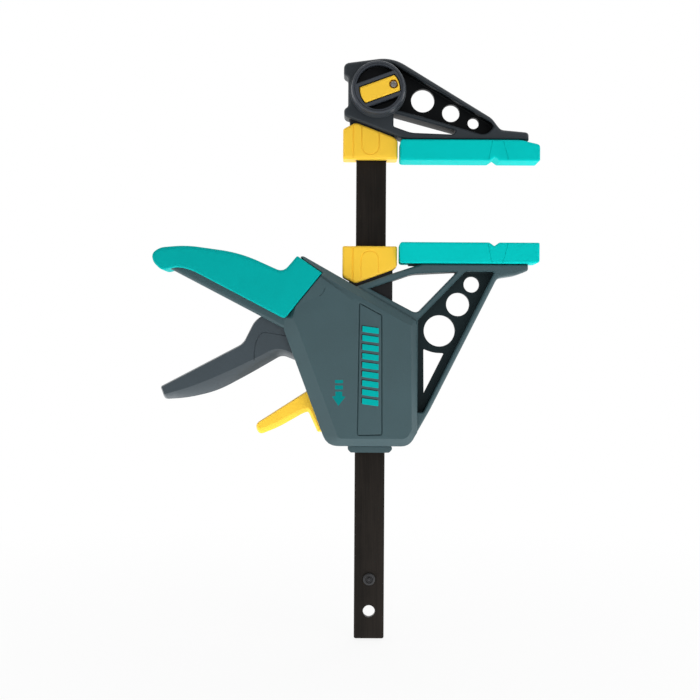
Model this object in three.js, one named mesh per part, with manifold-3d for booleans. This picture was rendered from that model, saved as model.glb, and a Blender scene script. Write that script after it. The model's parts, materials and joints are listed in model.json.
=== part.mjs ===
// One-handed f-clamp: a flat bar with a fixed jaw at its top, and a sliding jaw that carries
// a handle, a squeeze trigger and a release lever.
// Millimetres, +Z up. The foot of the bar stands on the origin, the jaws reach along +X and
// the front of the clamp faces -Y.
import * as THREE from 'three';
import { mergeVertices } from 'three/addons/utils/BufferGeometryUtils.js';
import Module from 'manifold-3d';

const wasm = await Module();
wasm.setup();

// Clearances
const RUNNING_GAP = 0.3; // between a moving piece and its guide
const SEAT_GAP = 0.3; // between two pieces that rest on each other
const PIN_GAP = 0.12; // around a pin, shaft or screw
const OVERRUN = 2; // how far a cut runs past the face that it opens
const MERGE_DISTANCE = 0.00001; // corners closer than this are one corner

// Counts
const CORNER_STEPS = 4;
const HOLE_SIDES = 32;
const PIN_SIDES = 20;
const KNOB_SIDES = 48;
const COIL_STEPS = 12; // in one curl
const WIRE_SIDES = 3; // in half a turn of the wire

// Bar
const BAR_WIDTH = 20;
const BAR_THICKNESS = 6;
const BAR_LENGTH = 380;
const BAR_CORNER = 1;
const HANGING_HOLE_RADIUS = 4;
const HANGING_HOLE_HEIGHT = 18.2;
const STOP_PIN_HEIGHT = 39.7;
const STOP_PIN_RADIUS = 2.9;
const STOP_PIN_HEAD_RADIUS = 4.3;
const STOP_PIN_HEAD_THICKNESS = 2;
const STOP_PIN_DIMPLE_RADIUS = 2;
const STOP_PIN_DIMPLE_DEPTH = 0.8;

// Both jaws
const BAR_ENGAGEMENT = 61.6; // from the fixed pad's face up to the bar's top end
const OPENING = 54; // between the two pads' faces
const JAW_REACH = 104.3; // from the bar's axis to the jaws' noses
const JAW_THICKNESS = 22;
const WEB_THICKNESS = 6;
const FIXED_JAW_RISE = 53.1; // from the pad's back up
const SLIDER_DROP = 121.2; // from the pad's back down to the bottom of the case
const CASE_REACH = 57.9; // from the bar's axis to the corner where the case meets the handle
const HANDLE_REACH = 144.6; // from the bar's axis to the handle's tip

// Pads and the rails that carry them
const PAD_THICKNESS = 13.9;
const PAD_WIDTH = 27;
const PAD_SETBACK = 4.5; // from the sleeve's face to the pad's near end
const PAD_OVERHANG = 7.3; // past the jaw's nose
const PAD_CORNER = 2.2;
const PAD_TIP_DROP = 3;
const PAD_NOTCH_WIDTH = 6.6;
const PAD_NOTCH_DEPTH = 2.4;
const PAD_NOTCH_SHARE = 0.676;
const RAIL_NECK_WIDTH = 8;
const RAIL_HEAD_WIDTH = 14;
const RAIL_HEAD_THICKNESS = 2.4;
const RAIL_DEPTH = 4.6;
const RAIL_SETBACK = 6;

// Sleeves that line the jaws round the bar, and the guards clipped round them
const SLEEVE_SIDE_WALL = 4.2;
const SLEEVE_FACE_WALL = 4.7;
const SLEEVE_CORNER = 1.5;
const FIXED_SLEEVE_LENGTH = 32.5;
const SLIDER_SLEEVE_LENGTH = 44;
const FIXED_GUARD_INSET = 1; // from the pad's face to the guard's end
const SLIDER_GUARD_INSET = 2.6;
const GUARD_LEFT_WALL = 4.1;
const GUARD_RIGHT_WALL = 2.6;
const GUARD_FACE_WALL = 1.4;
const GUARD_CORNER = 1.2;
const GUARD_SHOULDER = 4.4;
const GUARD_SHOULDER_WIDTH = 8.4;
const FIXED_GUARD_CLEARANCE = 1;
const SLIDER_GUARD_CLEARANCE = 2.2;

// Knob that locks the fixed jaw to the bar
const KNOB_BOSS_RADIUS = 18.7;
const KNOB_BOSS_RISE = 2;
const KNOB_X = 4.1;
const KNOB_HEIGHT_SHARE = 0.612;
const KNOB_TILT = 20; // degrees
const KNOB_RADIUS = 18;
const KNOB_FRONT_RADIUS = 17.4;
const KNOB_RIM_WALL = 2.9;
const KNOB_DEPTH = 9.7;
const KNOB_FLOOR = 2.2;
const KNOB_RIB_THICKNESS = 2.4;
const INSERT_WIDTH = 11.4;
const INSERT_RADIUS = 13.4;
const INSERT_THICKNESS = 4.9;
const INSERT_RECESS = 0.1;
const KNOB_SCREW_OFFSET = 9.6;
const KNOB_SCREW_HEAD_RADIUS = 2.5;
const KNOB_SCREW_RADIUS = 1.3;
const KNOB_SCREW_HEAD_THICKNESS = 1.5;
const KNOB_SCREW_LENGTH = 7.6;
const KNOB_SCREW_RECESS = 0.7;
const LOCK_SHAFT_RADIUS = 4;
const LOCK_SHAFT_SQUARE = 5;
const LOCK_TIP_RADIUS = 2.6;
const LOCK_TIP_OFFSET = 0.7;
const LOCK_TIP_HOLE_RADIUS = 3.6;
const LOCK_CLIP_RADIUS = 6;
const LOCK_CLIP_THICKNESS = 1;
const LOCK_CLIP_GROOVE_DEPTH = 0.8;
const LOCK_CLIP_OPENING = 60; // degrees
const LOCK_CLIP_ROOM = 0.9; // along the shaft, beside the clip

// Case of the slider and its mechanism
const CASE_THICKNESS = 34;
const CASE_WALL = 3.6;
const COVER_RIM = 1.5;
const COVER_THICKNESS = 2.7;
const CORE_THICKNESS = 26;
const GRIP_THICKNESS = 34.4;
const CEILING_DEPTH = 48; // from the pad's face to the top of the mechanism's chamber
const SHELF_DEPTH = 91;
const SHELF_THICKNESS = 3;
const RIB_THICKNESS = 3;
const SCREW_BOSS_RADIUS = 3.4;
const COVER_SCREW_RADIUS = 1.4;
const COVER_SCREW_HEAD_RADIUS = 2.6;
const COVER_SCREW_HEAD_THICKNESS = 1.5;
const COVER_SCREW_LENGTH = 12;
const GUIDE_FLANGE_WIDTH = 29.4;
const GUIDE_FLANGE_DEPTH = 20;
const GUIDE_FLANGE_THICKNESS = 4;
const GUIDE_TAPER = 2;
const GUIDE_WALL = 1.7;
const GUIDE_SPIGOT_STANDOUT = 1;

// Trigger, drive plates and their spring
const TRIGGER_WIDTH = 17;
const TRIGGER_SIDE_GAP = 0.5;
const TRIGGER_TRAVEL = 20; // degrees
const TRIGGER_PIN_RADIUS = 2.5;
const TRIGGER_HUB_RADIUS = 8;
const TRIGGER_PIVOT_SHARE = 0.3647; // of the drop
const TRIGGER_ARM = 16.24; // from the pivot to the middle of the nose
const NOSE_RADIUS = 3.3;
const NOSE_CLEARANCE = 0.9;
const NOSE_NECK = 2.4;
const PLATE_WIDTH = 18;
const PLATE_THICKNESS = 3;
const PLATE_END = 4.2; // past the bar's edge on the right
const PLATE_REACH = 9; // past the bar's edge on the left, under the trigger's nose
const DRIVE_WIRE_RADIUS = 0.8;
const DRIVE_SPRING_CLEARANCE = 0.6;
const DRIVE_SPRING_CURLS = 6;

// Release lever, brake plate and its spring
const RELEASE_WIDTH = 12;
const RELEASE_PIN_RADIUS = 2;
const RELEASE_HUB_RADIUS = 5.5;
const RELEASE_PIVOT_SHARE = 0.8177; // of the drop
const RELEASE_ARM = 11.93; // from the pivot along x to the middle of the nose
const RELEASE_NOSE_RADIUS = 2;
const RELEASE_NOSE_CLEARANCE = 2.8;
const RELEASE_NOSE_RISE = 0.8;
const BRAKE_TILT = 5; // degrees
const BRAKE_THICKNESS = 3.5;
const BRAKE_WIDTH = 18;
const BRAKE_SLOT_SLACK = 1;
const BRAKE_FULCRUM = 6; // past the bar's edge
const BRAKE_END = 8;
const BRAKE_REACH = 11;
const BRAKE_PIN_RADIUS = 2;
const BRAKE_WIRE_RADIUS = 0.5;
const BRAKE_SPRING_RADIUS = 3.5;
const BRAKE_SPRING_CURLS = 5;
const BRAKE_SPRING_CLEARANCE = 3.4; // from the bar's edge to the spring's outside
const PIN_BOSS_WALL = 2.4;
const PIN_SEAT_DEPTH = 1.8;
const PIN_BOSS_SEAT_DEPTH = 3.6;

// Sizes that follow from those above
const BAR_HALF = BAR_WIDTH / 2;
const SLEEVE_HALF = BAR_HALF + RUNNING_GAP + SLEEVE_SIDE_WALL;
const SLEEVE_DEPTH_HALF = BAR_THICKNESS / 2 + RUNNING_GAP + SLEEVE_FACE_WALL;
const PAD_SEAT = PAD_THICKNESS + SEAT_GAP;
const FIXED_FACE_HEIGHT = BAR_LENGTH - BAR_ENGAGEMENT;
const CASE_FRONT = -CASE_THICKNESS / 2;
const CASE_BACK = CASE_THICKNESS / 2;
const CHAMBER_FRONT = CASE_FRONT + CASE_WALL;
const COVER_INNER = CASE_BACK - COVER_THICKNESS;
const REBATE_FLOOR = COVER_INNER - SEAT_GAP;
const FAR = 3 * CASE_THICKNESS; // past every piece in y, and past the case in x

const radians = THREE.MathUtils.degToRad;

// x as a share: -1 at the sleeve's left face, 0 at its right face, 1 at the jaw's nose.
const jawX = (share) => SLEEVE_HALF + share * (share > 0 ? JAW_REACH - SLEEVE_HALF : 2 * SLEEVE_HALF);
// On the slider the shares go on from -1 at the sleeve's left face to the case's corner, and
// from there to -2 at the handle's tip.
const CASE_CORNER_SHARE = -4 / 3;
const { mapLinear } = THREE.MathUtils;
function sliderX(share) {
  if (share >= -1) return jawX(share);
  if (share >= CASE_CORNER_SHARE) return mapLinear(share, -1, CASE_CORNER_SHARE, -SLEEVE_HALF, -CASE_REACH);
  return mapLinear(share, CASE_CORNER_SHARE, -2, -CASE_REACH, -HANDLE_REACH);
}
// z as a share: 0 at the pad's back, 1 at the far end of the jaw.
const fixedZ = (share) => PAD_SEAT + share * FIXED_JAW_RISE;
const sliderZ = (share) => -PAD_SEAT - share * SLIDER_DROP;
const fixedRows = (shares) => (
  shares.map(([x, z, corner = 0]) => [jawX(x), fixedZ(z), corner * FIXED_JAW_RISE])
);
const sliderRows = (shares) => (
  shares.map(([x, z, corner = 0]) => [sliderX(x), sliderZ(z), corner * SLIDER_DROP])
);

// Outlines in shares: x, z and how far each corner is cut back before it is rounded
const FIXED_JAW_SHARES = [
  [-1.141, 0.945, 0.085], [-0.035, 1.026, 0.19], [0.724, 0.265, 0.047], [0.791, 0.128, 0.047],
  [1, 0.096, 0.056], [1, 0], [0.08, 0], [-1.131, 0.288, 0.056], [-1.131, 0.373, 0.028],
  [-1.041, 0.411, 0.019], [-1.041, 0.772, 0.019], [-1.141, 0.806, 0.028],
];
const FIXED_POCKET_SHARES = [
  [-0.017, 0.94], [0.757, 0.181, 0.094], [0.679, 0.053, 0.056], [0.342, 0.222, 0.056], [-0.086, 0.392],
];
const FIXED_SLOT_SHARES = [
  [0, 0.326], [0.462, 0.115, 0.03], [0.445, 0.064, 0.02], [0.129, 0.083, 0.04], [0, 0.16],
];
const FIXED_HOLE_SHARES = [[0.219, 0.508, 0.147], [0.429, 0.352, 0.11], [0.596, 0.226, 0.071]];

const CASE_SHARES = [
  [-1.246, -0.046, 0.029], [0.178, 0.313, 0.025], [0.188, 0.921], [0.128, 1, 0.05],
  [-1.108, 1, 0.062], [-1.333, 0.357, 0.008], [-1.33, 0.302],
];
const JAW_FRAME_SHARES = [
  [-0.831, 0.1254], [0, 0.053, 0.02], [0.217, 0], [1, 0], [1, 0.035, 0.012], [0.913, 0.059, 0.02],
  [0.772, 0.076, 0.025], [0.28, 0.8], [0.188, 0.921], [0.128, 0.921], [0.128, 0.378], [-0.831, 0.18],
];
const WINDOW_SHARES = [
  [-0.528, 0.138], [0.1425, 0.056, 0.03], [0.479, 0.042, 0.015], [0.1715, 0.29, 0.017],
];
const WEB_POCKET_SHARES = [
  [0.188, 0.309], [0.188, 0.815], [0.2316, 0.815, 0.01], [0.752, 0.043, 0.015], [0.538, 0.041, 0.01],
];
const WEB_WINDOW_SHARES = [
  [0.234, 0.467, 0.006], [0.306, 0.487, 0.03], [0.387, 0.49, 0.008], [0.237, 0.713, 0.004],
];
const WEB_HOLE_SHARES = [[0.352, 0.366, 0.0862], [0.488, 0.22, 0.0644], [0.589, 0.11, 0.0437]];
const CHAMBER_SHARES = [
  [-1.106, 0.038], [0.182, 0.3135], [0.188, 0.921], [0.128, 1, 0.05], [-1.108, 1, 0.062], [-1.333, 0.353],
];
const CORE_SHARES = [
  [-1.94, -0.051, 0.03], [-1.82, -0.066, 0.09], [-1.558, -0.028, 0.09], [-1.337, 0.077, 0.035],
  [-1.254, -0.006, 0.01], [-1.104, 0.097], [-1.104, 0.361], [-1.333, 0.357, 0.008], [-1.901, 0.041, 0.015],
  [-1.942, 0.019, 0.02],
];
const GRIP_SHARES = [
  [-2.003, -0.077, 0.05], [-1.827, -0.094, 0.11], [-1.551, -0.054, 0.11], [-1.334, 0.05, 0.04],
  [-1.263, -0.04, 0.012], [-1.133, 0.056, 0.007], [-1.324, 0.31, 0.025], [-1.8, 0.045, 0.045],
  [-1.87, 0.028, 0.03], [-1.95, 0.05, 0.025], [-1.996, 0.002, 0.03],
];
const TRIGGER_TOP_SHARES = [[-1.542, 0.441, 0.03], [-1.482, 0.312, 0.035], [-1.412, 0.269, 0.02]];
const TRIGGER_SHARES = [
  [-1.966, 0.681, 0.012], ...TRIGGER_TOP_SHARES, [-1.122, 0.303], [-1.096, 0.411], [-1.166, 0.489, 0.02],
  [-1.266, 0.536, 0.02], [-1.341, 0.504, 0.03], [-1.505, 0.607, 0.07], [-1.674, 0.705, 0.08],
  [-1.828, 0.743, 0.07], [-1.942, 0.751, 0.02],
];
const TRIGGER_SLOT_END = 232; // degrees, where the trigger's slot in the case ends
const RELEASE_SKIRT_SHARE = 0.927; // where the release lever's skirt ends
const RELEASE_SHARES = [
  [-1.2, 0.692], [-1.478, 0.885, 0.03], [-1.455, 0.942, 0.03], [-1.244, 0.807, 0.025],
  [-1.204, 0.812, 0.015], [-1.156, RELEASE_SKIRT_SHARE, 0.008], [-1.112, RELEASE_SKIRT_SHARE],
  [-1.072, 0.862], [-1.072, 0.79], [-1.127, 0.741],
];
const COVER_SCREW_SHARES = [[-1.081, 0.155], [0.1, 0.394], [-1.162, 0.588], [0.089, 0.733], [0.061, 0.935]];

// A closed outline from rows of x, z and cut-back; a cut-back never takes over half an edge.
function outline(rows) {
  const corners = rows.map(([x, z]) => new THREE.Vector2(x, z));
  const shape = new THREE.Shape();
  corners.forEach((corner, index) => {
    const before = corners.at(index - 1);
    const after = corners[(index + 1) % corners.length];
    const toBefore = corner.distanceTo(before);
    const toAfter = corner.distanceTo(after);
    const cutBack = Math.min(rows[index][2] ?? 0, toBefore / 2, toAfter / 2);
    const start = corner.clone().lerp(before, cutBack / toBefore);
    const end = corner.clone().lerp(after, cutBack / toAfter);
    if (index === 0) shape.moveTo(start.x, start.y);
    else shape.lineTo(start.x, start.y);
    if (cutBack > 0) shape.quadraticCurveTo(corner.x, corner.y, end.x, end.y);
  });
  return shape;
}

// The same rows moved inward by a distance, or outward when it is negative. Rows run clockwise.
function inset(rows, distance) {
  const edges = rows.map(([x, z], index) => {
    const [nextX, nextZ] = rows[(index + 1) % rows.length];
    const along = new THREE.Vector2(nextX - x, nextZ - z).normalize();
    return { point: new THREE.Vector2(x + along.y * distance, z - along.x * distance), along };
  });
  return rows.map((row, index) => {
    const first = edges.at(index - 1);
    const second = edges[index];
    const turn = first.along.cross(second.along);
    const step = second.point.clone().sub(first.point).cross(second.along) / turn;
    const corner = first.point.clone().addScaledVector(first.along, step);
    return [corner.x, corner.y, Math.max((row[2] ?? 0) - distance, 0)];
  });
}

// A closed geometry as a solid that can be joined and cut
function solid(geometry) {
  geometry.deleteAttribute('normal');
  geometry.deleteAttribute('uv');
  const merged = mergeVertices(geometry, MERGE_DISTANCE);
  return new wasm.Manifold(new wasm.Mesh({
    numProp: 3,
    vertProperties: new Float32Array(merged.attributes.position.array),
    triVerts: new Uint32Array(merged.index.array),
  }));
}

const cut = (body, ...tools) => tools.reduce((rest, tool) => rest.subtract(tool), body);
const join = (body, ...others) => others.reduce((whole, other) => whole.add(other), body);

// An outline in x and z, extruded from its front face to its back face
function slab(rows, front, back) {
  const options = { depth: back - front, bevelEnabled: false, curveSegments: CORNER_STEPS };
  const geometry = new THREE.ExtrudeGeometry(outline(rows), options);
  return solid(geometry.rotateX(Math.PI / 2).translate(0, back, 0));
}

// A rectangle in x and y with rounded corners, extruded upward
function post(left, right, halfDepth, bottom, top, corner) {
  const rows = [
    [left, -halfDepth, corner], [left, halfDepth, corner],
    [right, halfDepth, corner], [right, -halfDepth, corner],
  ];
  const options = { depth: top - bottom, bevelEnabled: false, curveSegments: CORNER_STEPS };
  return solid(new THREE.ExtrudeGeometry(outline(rows), options).translate(0, 0, bottom));
}

function block(left, right, front, back, bottom, top) {
  const box = new THREE.BoxGeometry(right - left, back - front, top - bottom);
  return solid(box.translate((left + right) / 2, (front + back) / 2, (bottom + top) / 2));
}

// A round bar along y
function disc(x, z, radius, front, back, sides = HOLE_SIDES) {
  const cylinder = new THREE.CylinderGeometry(radius, radius, back - front, sides);
  return solid(cylinder.translate(x, (front + back) / 2, z));
}

// A profile of radius and y, turned about the y axis that passes through x and z
function turned(x, z, profile, sides = PIN_SIDES) {
  const points = profile.map(([radius, y]) => new THREE.Vector2(radius, y));
  return solid(new THREE.LatheGeometry(points, sides).translate(x, 0, z));
}

// A slice of a round bar along y, between two angles measured from +x towards +z
function sector(x, z, radius, fromAngle, toAngle, front, back) {
  const arc = Array.from({ length: HOLE_SIDES + 1 }, (_, index) => {
    const angle = radians(THREE.MathUtils.lerp(fromAngle, toAngle, index / HOLE_SIDES));
    return [x + radius * Math.cos(angle), z + radius * Math.sin(angle)];
  });
  return slab([[x, z], ...arc.reverse()], front, back);
}

// A coil spring round the z axis through x: a helix of wire between two seats
function coil(x, bottom, top, radius, wireRadius, curls) {
  class Helix extends THREE.Curve {
    getPoint(share, target = new THREE.Vector3()) {
      const angle = share * curls * 2 * Math.PI;
      const z = THREE.MathUtils.lerp(bottom + wireRadius, top - wireRadius, share);
      return target.set(x + radius * Math.cos(angle), radius * Math.sin(angle), z);
    }
  }
  const section = new THREE.Shape();
  section.absarc(0, 0, wireRadius, 0, 2 * Math.PI);
  const steps = curls * COIL_STEPS;
  const options = { extrudePath: new Helix(), steps, curveSegments: WIRE_SIDES, bevelEnabled: false };
  return solid(new THREE.ExtrudeGeometry(section, options));
}

// Height of the straight line through two rows at a given x
const lineAt = ([x0, z0], [x1, z1], x) => z0 + ((z1 - z0) * (x - x0)) / (x1 - x0);

const finish = (color, roughness, metalness = 0) => (
  new THREE.MeshStandardMaterial({ color, roughness, metalness })
);
const FINISHES = {
  burnishedSteel: finish(0x2b2421, 0.45, 0.7),
  brightSteel: finish(0xb9bcc0, 0.3, 1),
  jawPlastic: finish(0x2e3740, 0.55),
  casePlastic: finish(0x46565a, 0.55),
  coverPlastic: finish(0x3f4e52, 0.55),
  triggerPlastic: finish(0x3c454c, 0.5),
  blackPlastic: finish(0x15171a, 0.5),
  yellowPlastic: finish(0xfcc42f, 0.45),
  tealPad: finish(0x00bfae, 0.6),
  tealGrip: finish(0x00a59b, 0.65),
};

const clamp = new THREE.Group();
const fixedJaw = new THREE.Group();
const knob = new THREE.Group();
const slider = new THREE.Group();
fixedJaw.position.z = FIXED_FACE_HEIGHT;
slider.position.z = FIXED_FACE_HEIGHT - OPENING;
knob.position.set(KNOB_X, 0, fixedZ(KNOB_HEIGHT_SHARE));
knob.rotation.y = -radians(KNOB_TILT);
fixedJaw.add(knob);
clamp.add(fixedJaw, slider);

function addPiece(group, name, body, material) {
  const { vertProperties, triVerts } = body.getMesh();
  const geometry = new THREE.BufferGeometry();
  geometry.setAttribute('position', new THREE.BufferAttribute(vertProperties, 3));
  geometry.setIndex(new THREE.BufferAttribute(triVerts, 1));
  geometry.computeVertexNormals();
  const mesh = new THREE.Mesh(geometry, material);
  mesh.name = name;
  group.add(mesh);
}

// The clear way for the bar through a piece
function barPassage(bottom, top, gap = RUNNING_GAP) {
  const halfDepth = BAR_THICKNESS / 2 + gap;
  return block(-BAR_HALF - gap, BAR_HALF + gap, -halfDepth, halfDepth, bottom, top);
}

// Bar and its stop pin
const stopFace = BAR_THICKNESS / 2 + SEAT_GAP;
const stopEnd = stopFace + STOP_PIN_HEAD_THICKNESS;
const stopDimple = stopEnd - STOP_PIN_DIMPLE_DEPTH;
addPiece(clamp, 'bar', cut(
  post(-BAR_HALF, BAR_HALF, BAR_THICKNESS / 2, 0, BAR_LENGTH, BAR_CORNER),
  disc(0, HANGING_HOLE_HEIGHT, HANGING_HOLE_RADIUS, -FAR, FAR),
  disc(0, STOP_PIN_HEIGHT, STOP_PIN_RADIUS + PIN_GAP, -FAR, FAR),
  disc(KNOB_X, FIXED_FACE_HEIGHT + fixedZ(KNOB_HEIGHT_SHARE), LOCK_TIP_HOLE_RADIUS, -FAR, FAR),
), FINISHES.burnishedSteel);
addPiece(clamp, 'stop_pin', turned(0, STOP_PIN_HEIGHT, [
  [0, -stopDimple], [STOP_PIN_DIMPLE_RADIUS, -stopEnd], [STOP_PIN_HEAD_RADIUS, -stopEnd],
  [STOP_PIN_HEAD_RADIUS, -stopFace], [STOP_PIN_RADIUS, -stopFace], [STOP_PIN_RADIUS, stopFace],
  [STOP_PIN_HEAD_RADIUS, stopFace], [STOP_PIN_HEAD_RADIUS, stopEnd], [STOP_PIN_DIMPLE_RADIUS, stopEnd],
  [0, stopDimple],
]), FINISHES.brightSteel);

// Sleeve round the bar; its ends are heights in its jaw's own frame
function sleeve(bottom, top) {
  const body = post(-SLEEVE_HALF, SLEEVE_HALF, SLEEVE_DEPTH_HALF, bottom, top, SLEEVE_CORNER);
  return cut(body, barPassage(bottom - OVERRUN, top + OVERRUN));
}

// The socket that holds a sleeve
function sleeveSocket(bottom, top) {
  const halfWidth = SLEEVE_HALF + SEAT_GAP;
  const halfDepth = SLEEVE_DEPTH_HALF + SEAT_GAP;
  return block(-halfWidth, halfWidth, -halfDepth, halfDepth, bottom, top);
}

// Guard between its outer end and the slanted edge of its jaw, with a shoulder at its left end.
// The sign is +1 where the jaw lies above the guard and -1 where it lies below.
const guardLeft = -SLEEVE_HALF - SEAT_GAP - GUARD_LEFT_WALL;
const guardShoulder = guardLeft + GUARD_SHOULDER_WIDTH;
function guard(outerEnd, shoulderEnd, edge, clearance, sign) {
  const left = guardLeft;
  const right = SLEEVE_HALF + SEAT_GAP + GUARD_RIGHT_WALL;
  const shoulder = guardShoulder;
  const inner = (x) => lineAt(...edge, x) - sign * clearance;
  const rows = [
    [left, outerEnd, GUARD_CORNER],
    [left, shoulderEnd, GUARD_CORNER],
    [shoulder, inner(shoulder), GUARD_CORNER],
    [SLEEVE_HALF, inner(SLEEVE_HALF), GUARD_CORNER],
    [right, inner(right) - sign * GUARD_CORNER, GUARD_CORNER],
    [right, outerEnd, GUARD_CORNER],
  ];
  const halfDepth = SLEEVE_DEPTH_HALF + SEAT_GAP + GUARD_FACE_WALL;
  const body = slab(sign > 0 ? rows : rows.reverse(), -halfDepth, halfDepth);
  return cut(body, sleeveSocket(-FAR, FAR));
}

// Pads, built below a fixed jaw and turned over for the slider
const padStart = SLEEVE_HALF + PAD_SETBACK;
const padEnd = JAW_REACH + PAD_OVERHANG;
const railStart = padStart + RAIL_SETBACK;
const railEnd = JAW_REACH - RAIL_SETBACK;

// T-shaped rail under a jaw, or with a gap the channel that takes it
function rail(start, end, gap) {
  const headTop = PAD_SEAT - RAIL_DEPTH + RAIL_HEAD_THICKNESS;
  const neck = RAIL_NECK_WIDTH / 2 + gap;
  const head = RAIL_HEAD_WIDTH / 2 + gap;
  return join(
    block(start, end, -neck, neck, PAD_SEAT - RAIL_DEPTH, PAD_SEAT + OVERRUN),
    block(start, end, -head, head, PAD_SEAT - RAIL_DEPTH - gap, headTop + gap),
  );
}

function pad() {
  const notch = THREE.MathUtils.lerp(padStart, padEnd, PAD_NOTCH_SHARE);
  const body = slab([
    [padStart, 0, PAD_CORNER], [padStart, PAD_THICKNESS, PAD_CORNER],
    [railEnd + SEAT_GAP, PAD_THICKNESS, PAD_CORNER], [padEnd, PAD_THICKNESS - PAD_TIP_DROP, PAD_CORNER],
    [padEnd, 0, PAD_CORNER / 2], [notch + PAD_NOTCH_WIDTH / 2, 0], [notch, PAD_NOTCH_DEPTH],
    [notch - PAD_NOTCH_WIDTH / 2, 0],
  ], -PAD_WIDTH / 2, PAD_WIDTH / 2);
  return cut(body, rail(padStart - OVERRUN, railEnd + SEAT_GAP, SEAT_GAP));
}

// Fixed jaw
const jawHalf = JAW_THICKNESS / 2;
const webHalf = WEB_THICKNESS / 2;
const bossFront = -jawHalf - KNOB_BOSS_RISE;
const knobZ = fixedZ(KNOB_HEIGHT_SHARE);
const tunnelFace = BAR_THICKNESS / 2 + RUNNING_GAP;
const clipFront = -tunnelFace - LOCK_CLIP_THICKNESS - LOCK_CLIP_ROOM;
const fixedJawRows = fixedRows(FIXED_JAW_SHARES);
const fixedJawEdge = fixedJawRows.slice(6, 8);
const fixedSleeveTop = FIXED_GUARD_INSET + FIXED_SLEEVE_LENGTH;

// Front and back recesses that leave a web in the middle
const recesses = (rows) => [slab(rows, -FAR, -webHalf), slab(rows, webHalf, FAR)];

addPiece(fixedJaw, 'fixed_jaw', cut(
  join(
    cut(slab(fixedJawRows, -jawHalf, jawHalf), ...recesses(fixedRows(FIXED_POCKET_SHARES))),
    disc(KNOB_X, knobZ, KNOB_BOSS_RADIUS, bossFront, jawHalf, KNOB_SIDES),
    rail(railStart, railEnd, 0),
  ),
  ...fixedRows(FIXED_HOLE_SHARES).map(([x, z, radius]) => disc(x, z, radius, -FAR, FAR)),
  slab(fixedRows(FIXED_SLOT_SHARES), -FAR, FAR),
  sleeveSocket(-FAR, fixedSleeveTop + SEAT_GAP),
  barPassage(-FAR, BAR_ENGAGEMENT + SEAT_GAP),
  disc(KNOB_X, knobZ, LOCK_SHAFT_RADIUS + PIN_GAP, -FAR, -tunnelFace + OVERRUN),
  disc(KNOB_X, knobZ, LOCK_CLIP_RADIUS + RUNNING_GAP, clipFront, -tunnelFace + OVERRUN),
), FINISHES.jawPlastic);
addPiece(fixedJaw, 'fixed_jaw_sleeve', sleeve(
  FIXED_GUARD_INSET + SEAT_GAP, fixedSleeveTop,
), FINISHES.blackPlastic);
const fixedShoulderEnd = lineAt(...fixedJawEdge, guardShoulder) - FIXED_GUARD_CLEARANCE - GUARD_SHOULDER;
addPiece(fixedJaw, 'fixed_jaw_guard', guard(
  FIXED_GUARD_INSET, fixedShoulderEnd, fixedJawEdge, FIXED_GUARD_CLEARANCE, 1,
), FINISHES.yellowPlastic);
addPiece(fixedJaw, 'fixed_jaw_pad', pad(), FINISHES.tealPad);

// Knob: a cup with a grip bar across it that holds a coloured insert
const knobBack = bossFront - SEAT_GAP;
const knobFront = knobBack - KNOB_DEPTH;
const cupRadius = KNOB_FRONT_RADIUS - KNOB_RIM_WALL;
const insertFront = knobFront + INSERT_RECESS;
const insertBack = insertFront + INSERT_THICKNESS;
const pocketFloor = insertBack + SEAT_GAP;
const gripHalf = INSERT_WIDTH / 2 + SEAT_GAP + KNOB_RIB_THICKNESS;
const screwHeadFront = insertFront + KNOB_SCREW_RECESS;
const screwHeadBack = screwHeadFront + KNOB_SCREW_HEAD_THICKNESS;
const squareHalf = LOCK_SHAFT_SQUARE / 2;
const squareHole = squareHalf + SEAT_GAP;
const screwEnd = screwHeadFront + KNOB_SCREW_LENGTH;

// A round bar along y with two flats, as wide as twice the half width between them
const flattened = (radius, halfWidth, front, back) => (
  disc(0, 0, radius, front, back, KNOB_SIDES).intersect(block(-FAR, FAR, -FAR, FAR, -halfWidth, halfWidth))
);
const insertShape = (gap, front, back) => flattened(INSERT_RADIUS + gap, INSERT_WIDTH / 2 + gap, front, back);
const knobProfile = [
  [0, knobFront], [KNOB_FRONT_RADIUS, knobFront], [KNOB_RADIUS, knobBack], [0, knobBack],
];
addPiece(knob, 'lock_knob', cut(
  join(
    cut(
      turned(0, 0, knobProfile, KNOB_SIDES),
      disc(0, 0, cupRadius, -FAR, knobBack - KNOB_FLOOR, KNOB_SIDES),
    ),
    flattened(cupRadius + KNOB_RIM_WALL / 2, gripHalf, knobFront, knobBack),
  ),
  insertShape(SEAT_GAP, -FAR, pocketFloor),
  block(-squareHole, squareHole, -FAR, FAR, -squareHole, squareHole),
  disc(KNOB_SCREW_OFFSET, 0, KNOB_SCREW_RADIUS + PIN_GAP, -FAR, screwEnd + SEAT_GAP, PIN_SIDES),
), FINISHES.jawPlastic);
addPiece(knob, 'lock_knob_insert', cut(
  insertShape(0, insertFront, insertBack),
  turned(KNOB_SCREW_OFFSET, 0, [
    [0, insertFront - OVERRUN], [KNOB_SCREW_HEAD_RADIUS + SEAT_GAP, insertFront - OVERRUN],
    [KNOB_SCREW_HEAD_RADIUS + SEAT_GAP, screwHeadBack + SEAT_GAP],
    [KNOB_SCREW_RADIUS + PIN_GAP, screwHeadBack + SEAT_GAP],
    [KNOB_SCREW_RADIUS + PIN_GAP, insertBack + OVERRUN], [0, insertBack + OVERRUN],
  ]),
), FINISHES.yellowPlastic);
addPiece(knob, 'lock_knob_screw', turned(KNOB_SCREW_OFFSET, 0, [
  [0, screwHeadFront], [KNOB_SCREW_HEAD_RADIUS, screwHeadFront], [KNOB_SCREW_HEAD_RADIUS, screwHeadBack],
  [KNOB_SCREW_RADIUS, screwHeadBack], [KNOB_SCREW_RADIUS, screwEnd], [0, screwEnd],
]), FINISHES.brightSteel);

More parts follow.
